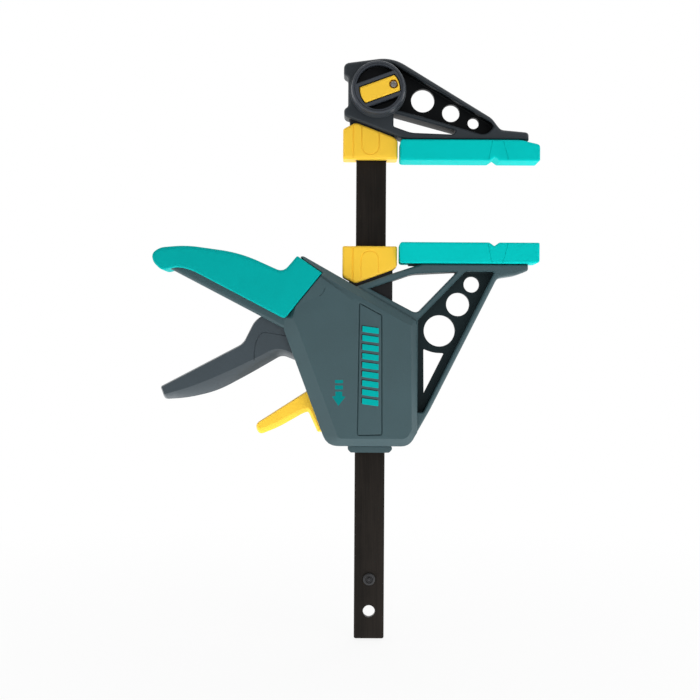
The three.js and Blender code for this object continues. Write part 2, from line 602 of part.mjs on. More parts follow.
// Shaft from the knob through the jaw's wall into the bar, held by a clip in the tunnel
const grooveFront = clipFront + SEAT_GAP;
const grooveBack = grooveFront + LOCK_CLIP_THICKNESS + SEAT_GAP;
const grooveRadius = LOCK_SHAFT_RADIUS - LOCK_CLIP_GROOVE_DEPTH;
addPiece(knob, 'lock_shaft', join(
  block(-squareHalf, squareHalf, pocketFloor, knobBack + SEAT_GAP, -squareHalf, squareHalf),
  turned(0, 0, [
    [0, knobBack + SEAT_GAP], [LOCK_SHAFT_RADIUS, knobBack + SEAT_GAP], [LOCK_SHAFT_RADIUS, grooveFront],
    [grooveRadius, grooveFront], [grooveRadius, grooveBack], [LOCK_SHAFT_RADIUS, grooveBack],
    [LOCK_SHAFT_RADIUS, -tunnelFace], [0, -tunnelFace],
  ]),
  disc(LOCK_TIP_OFFSET, 0, LOCK_TIP_RADIUS, -tunnelFace, BAR_THICKNESS / 2, PIN_SIDES),
), FINISHES.brightSteel);
const clipStart = grooveFront + SEAT_GAP / 2;
addPiece(knob, 'lock_clip', cut(
  disc(0, 0, LOCK_CLIP_RADIUS, clipStart, clipStart + LOCK_CLIP_THICKNESS),
  disc(0, 0, grooveRadius + PIN_GAP, -FAR, FAR, PIN_SIDES),
  sector(0, 0, 2 * LOCK_CLIP_RADIUS, 90 - LOCK_CLIP_OPENING / 2, 90 + LOCK_CLIP_OPENING / 2, -FAR, FAR),
), FINISHES.brightSteel);

// Slider: places of the mechanism in its own frame
const triggerX = -BAR_HALF - NOSE_CLEARANCE - NOSE_RADIUS - TRIGGER_ARM;
const triggerZ = sliderZ(TRIGGER_PIVOT_SHARE);
const releaseNoseX = -BAR_HALF - RELEASE_NOSE_CLEARANCE - RELEASE_NOSE_RADIUS;
const releaseX = releaseNoseX - RELEASE_ARM;
const releaseZ = sliderZ(RELEASE_PIVOT_SHARE);
const coverScrews = sliderRows(COVER_SCREW_SHARES);
const caseBottom = sliderZ(1);
const chamberFloor = caseBottom + CASE_WALL;
const shelfTop = -SHELF_DEPTH;
const shelfBottom = shelfTop - SHELF_THICKNESS;
const sleeveTop = -SLIDER_GUARD_INSET - SEAT_GAP;
const sleeveBottom = sleeveTop - SLIDER_SLEEVE_LENGTH;
const triggerHalf = TRIGGER_WIDTH / 2;
const slotHalf = triggerHalf + TRIGGER_SIDE_GAP;
const releaseHalf = RELEASE_WIDTH / 2;

// The nose swings as far below the pivot as it starts above it
const noseX = triggerX + TRIGGER_ARM * Math.cos(radians(TRIGGER_TRAVEL / 2));
const noseZ = triggerZ + TRIGGER_ARM * Math.sin(radians(TRIGGER_TRAVEL / 2));
const plateTop = noseZ - NOSE_RADIUS - SEAT_GAP;
const plateStep = PLATE_THICKNESS + SEAT_GAP;
const driveSpringTop = plateTop - 2 * plateStep;
const barCornerRadius = Math.hypot(BAR_HALF, BAR_THICKNESS / 2);
const driveSpringRadius = barCornerRadius + DRIVE_SPRING_CLEARANCE + DRIVE_WIRE_RADIUS;

// The brake plate hangs from its fulcrum on the right and tilts up to the release's nose
const releaseNoseZ = releaseZ + RELEASE_NOSE_RISE;
const brakeSlope = Math.tan(radians(BRAKE_TILT));
const brakeX = BAR_HALF + BRAKE_FULCRUM;
const brakeRise = BRAKE_THICKNESS / 2 / Math.cos(radians(BRAKE_TILT));
const noseReach = (RELEASE_NOSE_RADIUS + SEAT_GAP) / Math.cos(radians(BRAKE_TILT));
const brakeZ = releaseNoseZ - noseReach - brakeRise - (brakeX - releaseNoseX) * brakeSlope;
const fulcrumZ = brakeZ + brakeRise + (BRAKE_PIN_RADIUS + SEAT_GAP) / Math.cos(radians(BRAKE_TILT));
const brakeEndDrop = (BRAKE_END - BRAKE_FULCRUM) * brakeSlope;
const brakeSpringX = -BAR_HALF - BRAKE_SPRING_CLEARANCE - BRAKE_SPRING_RADIUS - BRAKE_WIRE_RADIUS;
const brakeSpringRight = brakeSpringX + BRAKE_SPRING_RADIUS + BRAKE_WIRE_RADIUS;
const brakeSpringTop = brakeZ + (brakeX - brakeSpringRight) * brakeSlope - brakeRise - SEAT_GAP;

// Each cross pin: where it sits, its radius, half the width of what turns on it
const crossPins = [
  { name: 'trigger_pin', x: triggerX, z: triggerZ, radius: TRIGGER_PIN_RADIUS, halfWidth: triggerHalf },
  { name: 'release_pin', x: releaseX, z: releaseZ, radius: RELEASE_PIN_RADIUS, halfWidth: releaseHalf },
  { name: 'brake_fulcrum_pin', x: brakeX, z: fulcrumZ, radius: BRAKE_PIN_RADIUS, halfWidth: BRAKE_WIDTH / 2 },
];
const pinFront = CHAMBER_FRONT - PIN_SEAT_DEPTH;
const bossEdge = ({ halfWidth }) => halfWidth + SEAT_GAP;
const pinBack = (pin) => bossEdge(pin) + PIN_BOSS_SEAT_DEPTH;
const pinBoss = ({ x, z, radius }, front, back) => (
  disc(x, z, radius + PIN_BOSS_WALL, front, back, PIN_SIDES)
);
const pinHole = ({ x, z, radius }, front, back) => disc(x, z, radius + PIN_GAP, front, back, PIN_SIDES);

// The chamber's clear volume: what is left out of it stays as walls, shelf, ribs and bosses
const chamberRows = sliderRows(CHAMBER_SHARES);
const ceilingLeft = -SLEEVE_HALF - SEAT_GAP - CASE_WALL;
const plateRib = plateTop + SEAT_GAP;
const brakeRib = brakeZ - brakeRise - brakeEndDrop - SEAT_GAP;
const chamber = cut(
  slab(inset(chamberRows, CASE_WALL), CHAMBER_FRONT, REBATE_FLOOR + OVERRUN),
  block(ceilingLeft, FAR, -FAR, FAR, -CEILING_DEPTH, 0),
  block(-FAR, FAR, -FAR, FAR, shelfBottom, shelfTop),
  block(BAR_HALF + RUNNING_GAP + NOSE_CLEARANCE, FAR, -FAR, FAR, plateRib, plateRib + RIB_THICKNESS),
  block(brakeX - BRAKE_PIN_RADIUS, FAR, -FAR, FAR, brakeRib - RIB_THICKNESS, brakeRib),
  ...coverScrews.map(([x, z]) => disc(x, z, SCREW_BOSS_RADIUS, -FAR, FAR, PIN_SIDES)),
  ...crossPins.map((pin) => pinBoss(pin, -FAR, -bossEdge(pin))),
);

// Room for the trigger as it swings up: the places that its top corners pass through, and where
// it stands when squeezed
const triggerRows = sliderRows(TRIGGER_SHARES);
const triggerPivot = new THREE.Vector2(triggerX, triggerZ);
const squeezedRows = triggerRows.map(([x, z, corner]) => {
  const point = new THREE.Vector2(x, z).rotateAround(triggerPivot, -radians(TRIGGER_TRAVEL));
  return [point.x, point.y, corner];
});
const triggerTopRows = sliderRows(TRIGGER_TOP_SHARES);
const triggerMidRow = [0, 1].map((axis) => (triggerTopRows[0][axis] + triggerTopRows[1][axis]) / 2);
const triggerSweep = [triggerMidRow, ...triggerTopRows.slice(1)].map(([x, z]) => {
  const radius = Math.hypot(x - triggerX, z - triggerZ);
  const angle = THREE.MathUtils.radToDeg(Math.atan2(z - triggerZ, x - triggerX));
  const start = (angle + 360) % 360 - TRIGGER_TRAVEL;
  const margin = THREE.MathUtils.radToDeg(2 * TRIGGER_SIDE_GAP / radius);
  return sector(
    triggerX, triggerZ, radius + TRIGGER_SIDE_GAP, start - margin, TRIGGER_SLOT_END, -slotHalf, slotHalf,
  );
});

const gripRows = sliderRows(GRIP_SHARES);
const coreRows = sliderRows(CORE_SHARES);
const coreHalf = CORE_THICKNESS / 2;
const gripSpace = cut(slab(inset(gripRows, -SEAT_GAP), -FAR, FAR), slab(coreRows, -coreHalf, coreHalf));

// The same turned over about the x axis: what lies above a pad's face then lies below it
const turnOver = (body) => {
  const { vertProperties, triVerts } = body.getMesh();
  const geometry = new THREE.BufferGeometry();
  geometry.setAttribute('position', new THREE.BufferAttribute(vertProperties, 3));
  geometry.setIndex(new THREE.BufferAttribute(triVerts, 1));
  return solid(geometry.rotateX(Math.PI));
};

const spigotHalf = BAR_HALF + RUNNING_GAP + GUIDE_WALL;
const spigotDepth = BAR_THICKNESS / 2 + RUNNING_GAP + GUIDE_WALL;
const jawFrame = cut(
  slab(sliderRows(JAW_FRAME_SHARES), -jawHalf, jawHalf),
  ...recesses(sliderRows(WEB_POCKET_SHARES)),
  slab(sliderRows(WINDOW_SHARES), -FAR, FAR),
  slab(sliderRows(WEB_WINDOW_SHARES), -FAR, FAR),
  ...sliderRows(WEB_HOLE_SHARES).map(([x, z, radius]) => disc(x, z, radius, -FAR, FAR)),
);
const caseRows = sliderRows(CASE_SHARES);
const releaseSlot = releaseHalf + RUNNING_GAP;
const socketHalf = spigotHalf + SEAT_GAP;
const socketDepth = spigotDepth + SEAT_GAP;
const screwHole = (front) => (
  coverScrews.map(([x, z]) => disc(x, z, COVER_SCREW_RADIUS + PIN_GAP, front, FAR, PIN_SIDES))
);
addPiece(slider, 'slider_frame', cut(
  join(
    slab(caseRows, CASE_FRONT, CASE_BACK), slab(coreRows, -coreHalf, coreHalf),
    jawFrame, turnOver(rail(railStart, railEnd, 0)),
  ),
  gripSpace,
  chamber,
  slab(inset(chamberRows, COVER_RIM), REBATE_FLOOR, FAR),
  ...triggerSweep,
  slab(inset(squeezedRows, -TRIGGER_SIDE_GAP), -slotHalf, slotHalf),
  block(-FAR, releaseX, -releaseSlot, releaseSlot, sliderZ(RELEASE_SKIRT_SHARE) - SEAT_GAP, shelfBottom),
  sleeveSocket(sleeveBottom - SEAT_GAP, FAR),
  barPassage(caseBottom - OVERRUN, 0, 2 * RUNNING_GAP),
  block(
    -socketHalf, socketHalf, -socketDepth, socketDepth, caseBottom - OVERRUN, chamberFloor + OVERRUN,
  ),
  ...screwHole(CASE_BACK - COVER_SCREW_LENGTH - SEAT_GAP),
  ...crossPins.map((pin) => pinHole(pin, pinFront - SEAT_GAP, 0)),
), FINISHES.casePlastic);

// Cover over the back of the chamber, with a boss for each cross pin
const screwHeadSeat = CASE_BACK - COVER_SCREW_HEAD_THICKNESS;
addPiece(slider, 'mechanism_cover', cut(
  join(
    slab(inset(chamberRows, COVER_RIM + SEAT_GAP), COVER_INNER, CASE_BACK),
    ...crossPins.map((pin) => pinBoss(pin, bossEdge(pin), COVER_INNER)),
  ),
  ...crossPins.map((pin) => pinHole(pin, 0, pinBack(pin) + SEAT_GAP)),
  ...screwHole(0),
  ...coverScrews.map(([x, z]) => (
    disc(x, z, COVER_SCREW_HEAD_RADIUS + RUNNING_GAP, screwHeadSeat - SEAT_GAP, FAR, PIN_SIDES)
  )),
), FINISHES.coverPlastic);
coverScrews.forEach(([x, z], index) => {
  const tip = CASE_BACK - COVER_SCREW_LENGTH;
  addPiece(slider, `cover_screw_${index + 1}`, turned(x, z, [
    [0, tip], [COVER_SCREW_RADIUS, tip], [COVER_SCREW_RADIUS, screwHeadSeat],
    [COVER_SCREW_HEAD_RADIUS, screwHeadSeat], [COVER_SCREW_HEAD_RADIUS, CASE_BACK], [0, CASE_BACK],
  ]), FINISHES.brightSteel);
});

addPiece(slider, 'handle_grip', cut(
  slab(gripRows, -GRIP_THICKNESS / 2, GRIP_THICKNESS / 2),
  slab(inset(coreRows, -SEAT_GAP), -coreHalf - SEAT_GAP, coreHalf + SEAT_GAP),
), FINISHES.tealGrip);
addPiece(slider, 'slider_sleeve', sleeve(sleeveBottom, sleeveTop), FINISHES.blackPlastic);
const sliderEdge = sliderRows(JAW_FRAME_SHARES).slice(0, 2);
const sliderShoulderEnd = lineAt(...caseRows.slice(0, 2), guardLeft) + SLIDER_GUARD_CLEARANCE;
addPiece(slider, 'slider_guard', guard(
  -SLIDER_GUARD_INSET, sliderShoulderEnd, sliderEdge, SLIDER_GUARD_CLEARANCE, -1,
), FINISHES.yellowPlastic);
addPiece(slider, 'slider_pad', turnOver(pad()), FINISHES.tealPad);

// Guide at the bottom of the case
const flangeTop = caseBottom - SEAT_GAP;
const flangeHalf = GUIDE_FLANGE_WIDTH / 2;
addPiece(slider, 'lower_bar_guide', cut(
  join(
    slab([
      [-flangeHalf, flangeTop, GUIDE_TAPER / 2], [flangeHalf, flangeTop, GUIDE_TAPER / 2],
      [flangeHalf, flangeTop - GUIDE_FLANGE_THICKNESS / 2, GUIDE_TAPER / 2],
      [flangeHalf - GUIDE_TAPER, flangeTop - GUIDE_FLANGE_THICKNESS, GUIDE_TAPER / 4],
      [GUIDE_TAPER - flangeHalf, flangeTop - GUIDE_FLANGE_THICKNESS, GUIDE_TAPER / 4],
      [-flangeHalf, flangeTop - GUIDE_FLANGE_THICKNESS / 2, GUIDE_TAPER / 2],
    ], -GUIDE_FLANGE_DEPTH / 2, GUIDE_FLANGE_DEPTH / 2),
    block(-spigotHalf, spigotHalf, -spigotDepth, spigotDepth,
      flangeTop - GUIDE_TAPER, chamberFloor + GUIDE_SPIGOT_STANDOUT),
  ),
  barPassage(-2 * SLIDER_DROP, 0),
), FINISHES.casePlastic);

crossPins.forEach((pin) => {
  const body = disc(pin.x, pin.z, pin.radius, pinFront, pinBack(pin), PIN_SIDES);
  addPiece(slider, pin.name, body, FINISHES.brightSteel);
});

// Trigger: lever, hub, arm and nose
addPiece(slider, 'trigger_lever', cut(
  join(
    slab(triggerRows, -triggerHalf, triggerHalf),
    disc(triggerX, triggerZ, TRIGGER_HUB_RADIUS, -triggerHalf, triggerHalf),
    disc(noseX, noseZ, NOSE_RADIUS, -triggerHalf, triggerHalf, PIN_SIDES),
    slab([
      [triggerX, triggerZ + TRIGGER_HUB_RADIUS], [noseX, noseZ + NOSE_RADIUS], [noseX, noseZ - NOSE_NECK],
      [noseX - NOSE_RADIUS - NOSE_NECK, noseZ - NOSE_NECK], [triggerX, triggerZ - TRIGGER_HUB_RADIUS],
    ], -triggerHalf, triggerHalf),
  ),
  disc(triggerX, triggerZ, TRIGGER_PIN_RADIUS + PIN_GAP, -FAR, FAR, PIN_SIDES),
), FINISHES.triggerPlastic);

// Drive plates that grip the bar, and the spring that lifts them back
const plateHalf = PLATE_WIDTH / 2;
[0, 1].forEach((index) => {
  const top = plateTop - index * plateStep;
  const bottom = top - PLATE_THICKNESS;
  addPiece(slider, `drive_plate_${index + 1}`, cut(
    block(-BAR_HALF - PLATE_REACH, BAR_HALF + PLATE_END, -plateHalf, plateHalf, bottom, top),
    barPassage(bottom - OVERRUN, top + OVERRUN),
  ), FINISHES.brightSteel);
});
addPiece(slider, 'drive_spring', coil(
  0, shelfTop + SEAT_GAP, driveSpringTop, driveSpringRadius, DRIVE_WIRE_RADIUS, DRIVE_SPRING_CURLS,
), FINISHES.brightSteel);

// Brake plate that jams on the bar, its spring and the lever that frees it
const brake = new THREE.Group();
brake.position.set(brakeX, 0, brakeZ);
brake.rotation.y = radians(BRAKE_TILT);
slider.add(brake);
const slotReach = BAR_HALF + RUNNING_GAP + BRAKE_SLOT_SLACK / 2;
const brakeLeft = -brakeX - BAR_HALF - BRAKE_REACH;
const brakeHalf = BRAKE_WIDTH / 2;
const brakeFace = BRAKE_THICKNESS / 2;
addPiece(brake, 'brake_plate', cut(
  block(brakeLeft, BRAKE_END - BRAKE_FULCRUM, -brakeHalf, brakeHalf, -brakeFace, brakeFace),
  block(-brakeX - slotReach, -brakeX + slotReach, -tunnelFace, tunnelFace, -FAR, FAR),
), FINISHES.brightSteel);
addPiece(slider, 'brake_spring', coil(
  brakeSpringX, chamberFloor + SEAT_GAP, brakeSpringTop,
  BRAKE_SPRING_RADIUS, BRAKE_WIRE_RADIUS, BRAKE_SPRING_CURLS,
), FINISHES.brightSteel);
addPiece(slider, 'release_lever', cut(
  join(
    slab(sliderRows(RELEASE_SHARES), -releaseHalf, releaseHalf),
    disc(releaseX, releaseZ, RELEASE_HUB_RADIUS, -releaseHalf, releaseHalf, PIN_SIDES),
    disc(releaseNoseX, releaseNoseZ, RELEASE_NOSE_RADIUS, -releaseHalf, releaseHalf, PIN_SIDES),
    slab([
      [releaseX, releaseZ + RELEASE_HUB_RADIUS], [releaseNoseX, releaseNoseZ + RELEASE_NOSE_RADIUS],
      [releaseNoseX, releaseNoseZ - RELEASE_NOSE_RADIUS / 2], [releaseX, releaseZ],
    ], -releaseHalf, releaseHalf),
  ),
  disc(releaseX, releaseZ, RELEASE_PIN_RADIUS + PIN_GAP, -FAR, FAR, PIN_SIDES),
), FINISHES.yellowPlastic);

export default clamp;
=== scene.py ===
"""Looks of a one-handed f-clamp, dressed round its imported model.

The pieces are moulded here from the same outlines as the model, with rounded edges, grooves
and grained finishes. Lengths are millimetres until a mesh is made, which is in metres.
"""
from __future__ import annotations

import json
import logging
import math
from collections.abc import Iterable, Sequence
from dataclasses import dataclass, field
from enum import Enum

import bmesh
import bpy
from mathutils import Matrix, Vector
from mathutils.geometry import tessellate_polygon

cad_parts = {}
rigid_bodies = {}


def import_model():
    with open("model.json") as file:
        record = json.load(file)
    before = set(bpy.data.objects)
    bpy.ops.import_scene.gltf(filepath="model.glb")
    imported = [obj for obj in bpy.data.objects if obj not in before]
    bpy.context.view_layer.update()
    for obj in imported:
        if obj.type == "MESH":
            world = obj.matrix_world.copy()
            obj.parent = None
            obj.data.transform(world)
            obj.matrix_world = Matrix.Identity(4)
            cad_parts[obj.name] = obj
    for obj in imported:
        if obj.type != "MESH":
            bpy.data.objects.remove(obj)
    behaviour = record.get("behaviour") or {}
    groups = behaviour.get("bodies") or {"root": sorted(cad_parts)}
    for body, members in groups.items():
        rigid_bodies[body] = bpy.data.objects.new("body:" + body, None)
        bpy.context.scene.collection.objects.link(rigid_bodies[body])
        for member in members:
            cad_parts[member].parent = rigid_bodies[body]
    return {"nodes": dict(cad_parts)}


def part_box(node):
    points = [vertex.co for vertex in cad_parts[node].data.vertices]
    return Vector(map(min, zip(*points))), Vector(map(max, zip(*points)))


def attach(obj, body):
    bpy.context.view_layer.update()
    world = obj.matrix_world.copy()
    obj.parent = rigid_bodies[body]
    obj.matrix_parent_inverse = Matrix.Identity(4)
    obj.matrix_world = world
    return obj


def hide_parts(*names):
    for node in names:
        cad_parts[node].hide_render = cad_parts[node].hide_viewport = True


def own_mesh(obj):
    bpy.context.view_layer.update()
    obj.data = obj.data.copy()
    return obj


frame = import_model()

Piece = bpy.types.Object
Colour = tuple[float, float, float]
Pairs = Sequence[tuple[float, float]]

MM = 0.001
ARC_STEPS = 6
CORNER_STEPS = 10
CIRCLE_SIDES = 72
SMALL_SIDES = 40
GROOVE_SIDES = 10
CROWN_FULLNESS = 9 / 19
MERGE_DISTANCE = 1e-7
WELD_DISTANCE = 1e-6
LEAST_CUT_BACK = 1e-5
SHARP_CUT_BACK = 0.02
SLIGHT_TURN = 0.3
SHARP_DEGREES = 50.0
FLATS_WEIGHT = 80
FAR = 30.0
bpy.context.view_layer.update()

log = logging.getLogger("f_clamp")


# Outlines and the mouldings made from them


@dataclass(frozen=True)
class Outline:
    """A closed outline in x and z, with its corners in clockwise order.

    Each row is x, z and how far the corner is cut back before it is rounded. Softness holds,
    for the edge after each row, how much of an inset that edge takes.
    """

    rows: tuple[tuple[float, float, float], ...]
    softness: tuple[float, ...] = ()

    @staticmethod
    def of(rows: Iterable[Sequence[float]], softness: Sequence[float] = ()) -> Outline:
        """Makes a clockwise outline.

        Args:
            rows: The corners in either order; their cut-back may be left out.
            softness: The edges' softness, in the same order.

        Returns:
            The outline.
        """
        full = tuple((x, z, sum(cut_back)) for x, z, *cut_back in rows)
        soft = tuple(softness)
        if sum(b[0] * a[1] - a[0] * b[1] for a, b in zip(full, full[1:] + full[:1])) < 0:
            full = full[::-1]
            soft = soft[-2::-1] + soft[-1:]
        return Outline(full, soft)

    @staticmethod
    def circle(x: float, z: float, radius: float, sides: int = CIRCLE_SIDES) -> Outline:
        """Makes a round outline."""
        turns = [-2 * math.pi / sides * i for i in range(sides)]
        return Outline.of((x + radius * math.cos(turn), z + radius * math.sin(turn)) for turn in turns)

    def moved(self, x: float, z: float) -> Outline:
        """Returns the outline shifted by x and z."""
        return Outline(tuple((a + x, b + z, c) for a, b, c in self.rows), self.softness)

    def turned(self, degrees: float) -> Outline:
        """Returns the outline turned about the origin.

        Args:
            degrees: How far it turns, from x towards z.

        Returns:
            The turned outline.
        """
        cosine, sine = math.cos(math.radians(degrees)), math.sin(math.radians(degrees))
        rows = ((x * cosine - z * sine, x * sine + z * cosine, cut_back) for x, z, cut_back in self.rows)
        return Outline(tuple(rows), self.softness)

    def inset(self, distance: float) -> Outline:
        """Moves the edges inward, or outward when the distance is negative.

        Args:
            distance: How far an edge of softness 1 moves.

        Returns:
            The moved outline, with its rounded corners kept parallel.
        """
        count = len(self.rows)
        softness = self.softness or (1.0,) * count
        corners = [Vector(row[:2]) for row in self.rows]
        along = [(corners[(i + 1) % count] - corners[i]).normalized() for i in range(count)]
        rows = []
        for i, (corner, row) in enumerate(zip(corners, self.rows)):
            before, after = along[i - 1], along[i]
            turn = before.cross(after)
            first = distance * softness[i - 1]
            second = distance * softness[i]
            if abs(turn) < SLIGHT_TURN:
                outward = (before + after).normalized()
                moved = corner + Vector((outward.y, -outward.x)) * (first + second) / 2
            else:
                start = corner + Vector((before.y, -before.x)) * first
                end = corner + Vector((after.y, -after.x)) * second
                moved = start + before * ((end - start).cross(after) / turn)
            cut_back = row[2]
            if cut_back:
                half_angle = math.atan2(abs(turn), before.dot(after)) / 2
                shrink = 0.5 * (first + second) * math.tan(half_angle)
                cut_back += -shrink if turn < 0 else shrink
                cut_back = cut_back if cut_back > SHARP_CUT_BACK else LEAST_CUT_BACK
            rows.append((moved.x, moved.y, cut_back))
        return Outline(tuple(rows), self.softness)

    def shrunk(self, distance: float) -> Outline:
        """Moves all edges inward alike, and keeps their softness for later insets."""
        return Outline(Outline(self.rows).inset(distance).rows, self.softness)

    def points(self) -> list[Vector]:
        """Rounds each corner that is cut back by a curve.

        Returns:
            The outline's points in x and z.
        """
        found = []
        corners = [Vector(row[:2]) for row in self.rows]
        for i, (corner, row) in enumerate(zip(corners, self.rows)):
            if row[2] <= 0:
                found.append(corner)
                continue
            before, after = corners[i - 1], corners[(i + 1) % len(corners)]
            cut_back = min(row[2], (corner - before).length / 2, (corner - after).length / 2)
            start = corner.lerp(before, cut_back / (corner - before).length)
            end = corner.lerp(after, cut_back / (corner - after).length)
            for step in range(CORNER_STEPS + 1):
                share = step / CORNER_STEPS
                found.append(start.lerp(corner, share).lerp(corner.lerp(end, share), share))
        return found


@dataclass
class Region:
    """One level of a moulded face, from its rim to its flat.

    The profile holds pairs of inset and y. Children lie on the flat. An open region has no
    flat, because it goes through to the other side. A deep region and what lies in it get
    painted shade: a copy of the finish that darkens towards the middle plane.
    """

    outline: Outline
    profile: Pairs
    children: list[Region] = field(default_factory=list)
    open: bool = False
    deep: bool = False


class Edge(Enum):
    """How a wall meets a flat, in pairs of a share of the edge's width and one of its depth."""

    ROUND = tuple(
        (1 - math.cos(math.pi / 2 * step / ARC_STEPS), 1 - math.sin(math.pi / 2 * step / ARC_STEPS))
        for step in range(ARC_STEPS + 1)
    )
    CROWN = tuple(
        (step / ARC_STEPS, (1 - step / ARC_STEPS) * (1 - CROWN_FULLNESS * step / ARC_STEPS))
        for step in range(ARC_STEPS + 1)
    )
    BEVEL = ((0.0, 1.12), (0.02, 1.03), (0.07, 0.95), (0.92, 0.09), (0.97, 0.02), (1.0, 0.0))
    GROOVE = ((0.0, 0.0), (0.45, 0.2), (0.55, 1.0), (0.85, 1.0), (1.0, 0.0))


def outer_edge(rim: float, flat: float, width: float, depth: float, edge: Edge = Edge.ROUND) -> Pairs:
    """Makes a profile, in pairs of inset and y, that rises from a rim to an edge round a flat."""
    sign = 1 if rim > flat else -1
    return [(0.0, rim)] + [(width * across, flat + sign * depth * down) for across, down in edge.value]


def hollow_edge(flat: float, floor: float, edge: float, fillet: float = 0.0) -> Pairs:
    """Makes a profile that drops from a flat to a floor.

    Args:
        flat: Where the flat lies, along y.
        floor: Where the hollow ends, along y.
        edge: The radius round the mouth.
        fillet: The radius round the floor.

    Returns:
        Pairs of inset and y.
    """
    sign = 1 if floor > flat else -1
    mouth = [(-edge * b, flat + sign * edge * a) for a, b in Edge.ROUND.value]
    if not fillet:
        return mouth + [(0.0, floor)]
    return mouth + [(fillet * a, floor - sign * fillet * b) for a, b in Edge.ROUND.value]


def groove(
    outline: Outline, flat: float, width: float, depth: float, inner: Sequence[Region] = ()
) -> Region:
    """Makes a closed groove, whose outer edge is the outline, round what lies inside it on a flat."""
    inward = depth if flat < 0 else -depth
    return Region(outline, [(width * a, flat + inward * b) for a, b in Edge.GROOVE.value], list(inner))


def through(outline: Outline, flat: float, edge: float) -> Region:
    """Makes a hole that goes right through from a flat to the middle plane, with painted shade on its walls.
    """
    return Region(outline, hollow_edge(flat, 0.0, edge), open=True, deep=True)


def linked(name: str, data: bpy.types.ID) -> Piece:
    """Adds an object to the scene.

    Args:
        name: The object's name.
        data: Its mesh, camera or lamp.

    Returns:
        The object.
    """
    made = bpy.data.objects.new(name, data)
    bpy.context.scene.collection.objects.link(made)
    return made


class MeshMaker:
    """Gathers faces in millimetres and turns them into a Blender mesh object."""

    def __init__(self, name: str) -> None:
        """Starts an empty mesh.

        Args:
            name: The name that the finished object gets.
        """
        self.name = name
        self.mesh = bmesh.new()
        # Material index of new faces: 1 in deep regions, whose copy of the finish has painted shade.
        self.recess = 0

    def ring(self, outline: Outline, inset: float, y: float) -> list[bmesh.types.BMVert]:
        """Adds the corners of an outline, inset, at a depth of y."""
        return [self.mesh.verts.new((p.x * MM, y * MM, p.y * MM)) for p in outline.inset(inset).points()]

    def strip(self, first: Sequence[bmesh.types.BMVert], second: Sequence[bmesh.types.BMVert]) -> None:
        """Joins two rings of as many corners by a band of quads.

        Args:
            first: The ring to start from.
            second: The ring to end at.
        """
        count = len(first)
        for i in range(count):
            j = (i + 1) % count
            self.mesh.faces.new((first[i], first[j], second[j], second[i])).material_index = self.recess

    def cap(self, rings: Sequence[Sequence[bmesh.types.BMVert]]) -> None:
        """Fills a flat.

        Args:
            rings: The flat's outer ring, then the rings inside it.
        """
        loops = [
            [vertex for i, vertex in enumerate(ring) if (vertex.co - ring[i - 1].co).length > MERGE_DISTANCE]
            for ring in rings
        ]
        flat = [vertex for loop in loops for vertex in loop]
        for triangle in tessellate_polygon([[vertex.co / MM for vertex in loop] for loop in loops]):
            corners = [flat[i] for i in triangle]
            if len(set(corners)) == len(corners):
                self.mesh.faces.new(corners).material_index = self.recess

    def face(self, region: Region) -> list[bmesh.types.BMVert]:
        """Builds a region and its children.

        Args:
            region: The region.

        Returns:
            The ring of its rim.
        """
        # Deep regions and their children take material index 1, the finish with painted shade.
        outside = self.recess
        self.recess = 1 if region.deep else outside
        rings = [self.ring(region.outline, inset, y) for inset, y in region.profile]
        for first, second in zip(rings, rings[1:]):
            self.strip(first, second)
        if not region.open:
            self.cap([rings[-1]] + [self.face(child) for child in region.children])
        self.recess = outside
        return rings[0]

    def turned(self, profile: Pairs, sides: int = CIRCLE_SIDES) -> None:
        """Turns a profile about the y axis.

        Args:
            profile: Pairs of radius and y; it starts and ends on the axis.
            sides: How many sides it has.
        """
        angles = [2 * math.pi * i / sides for i in range(sides)]
        rings = [
            [
                self.mesh.verts.new((radius * MM * math.cos(a), y * MM, radius * MM * math.sin(a)))
                for a in (angles if radius else angles[:1])
            ]
            for radius, y in profile
        ]
        for first, second in zip(rings, rings[1:]):
            if len(first) == len(second):
                self.strip(first, second)
                continue
            centre, ring = (first[0], second) if len(first) == 1 else (second[0], first)
            for i, corner in enumerate(ring):
                self.mesh.faces.new((centre, corner, ring[(i + 1) % len(ring)]))

    def box(self, low: Sequence[float], high: Sequence[float]) -> None:
        """Adds a box.

        Args:
            low: Its lowest corner.
            high: Its highest corner.
        """
        size = Vector(high) - Vector(low)
        middle = (Vector(high) + Vector(low)) / 2
        place = Matrix.Translation(middle * MM) @ Matrix.Diagonal((*(size * MM), 1.0))
        bmesh.ops.create_cube(self.mesh, size=1, matrix=place)

    def tube(self, path: Sequence[Vector], radius: float, across: Vector, sides: int) -> None:
        """Adds a closed tube along a path.

        Args:
            path: The points of its centre line.
            radius: Its outer radius.
            across: A direction that the path never runs along.
            sides: How many sides it has.
        """
        angles = [2 * math.pi * i / sides for i in range(sides)]
        rings = []
        for i, point in enumerate(path):
            before, after = path[max(i - 1, 0)], path[min(i + 1, len(path) - 1)]
            side = (after - before).normalized().cross(across).normalized()
            spokes = [side * radius * math.cos(a) + across * radius * math.sin(a) for a in angles]
            rings.append([self.mesh.verts.new((point + spoke) * MM) for spoke in spokes])
        for first, second in zip(rings, rings[1:]):
            self.strip(first, second)
        for end in (rings[0], rings[-1]):
            self.mesh.faces.new(end)

    def done(self, place: Matrix | None = None) -> Piece:
        """Closes the mesh and links it as an object.

        Args:
            place: A transform in metres that is baked into the mesh, or None.

        Returns:
            The new object, at the origin.
        """
        bmesh.ops.remove_doubles(self.mesh, verts=self.mesh.verts, dist=MERGE_DISTANCE)
        bmesh.ops.dissolve_degenerate(self.mesh, edges=self.mesh.edges, dist=MERGE_DISTANCE)
        bmesh.ops.recalc_face_normals(self.mesh, faces=self.mesh.faces)
        data = bpy.data.meshes.new(self.name)
        if place is not None:
            bmesh.ops.transform(self.mesh, matrix=place, verts=self.mesh.verts)
        self.mesh.to_mesh(data)
        self.mesh.free()
        data.materials.append(None)
        data.materials.append(None)
        return linked(self.name, data)


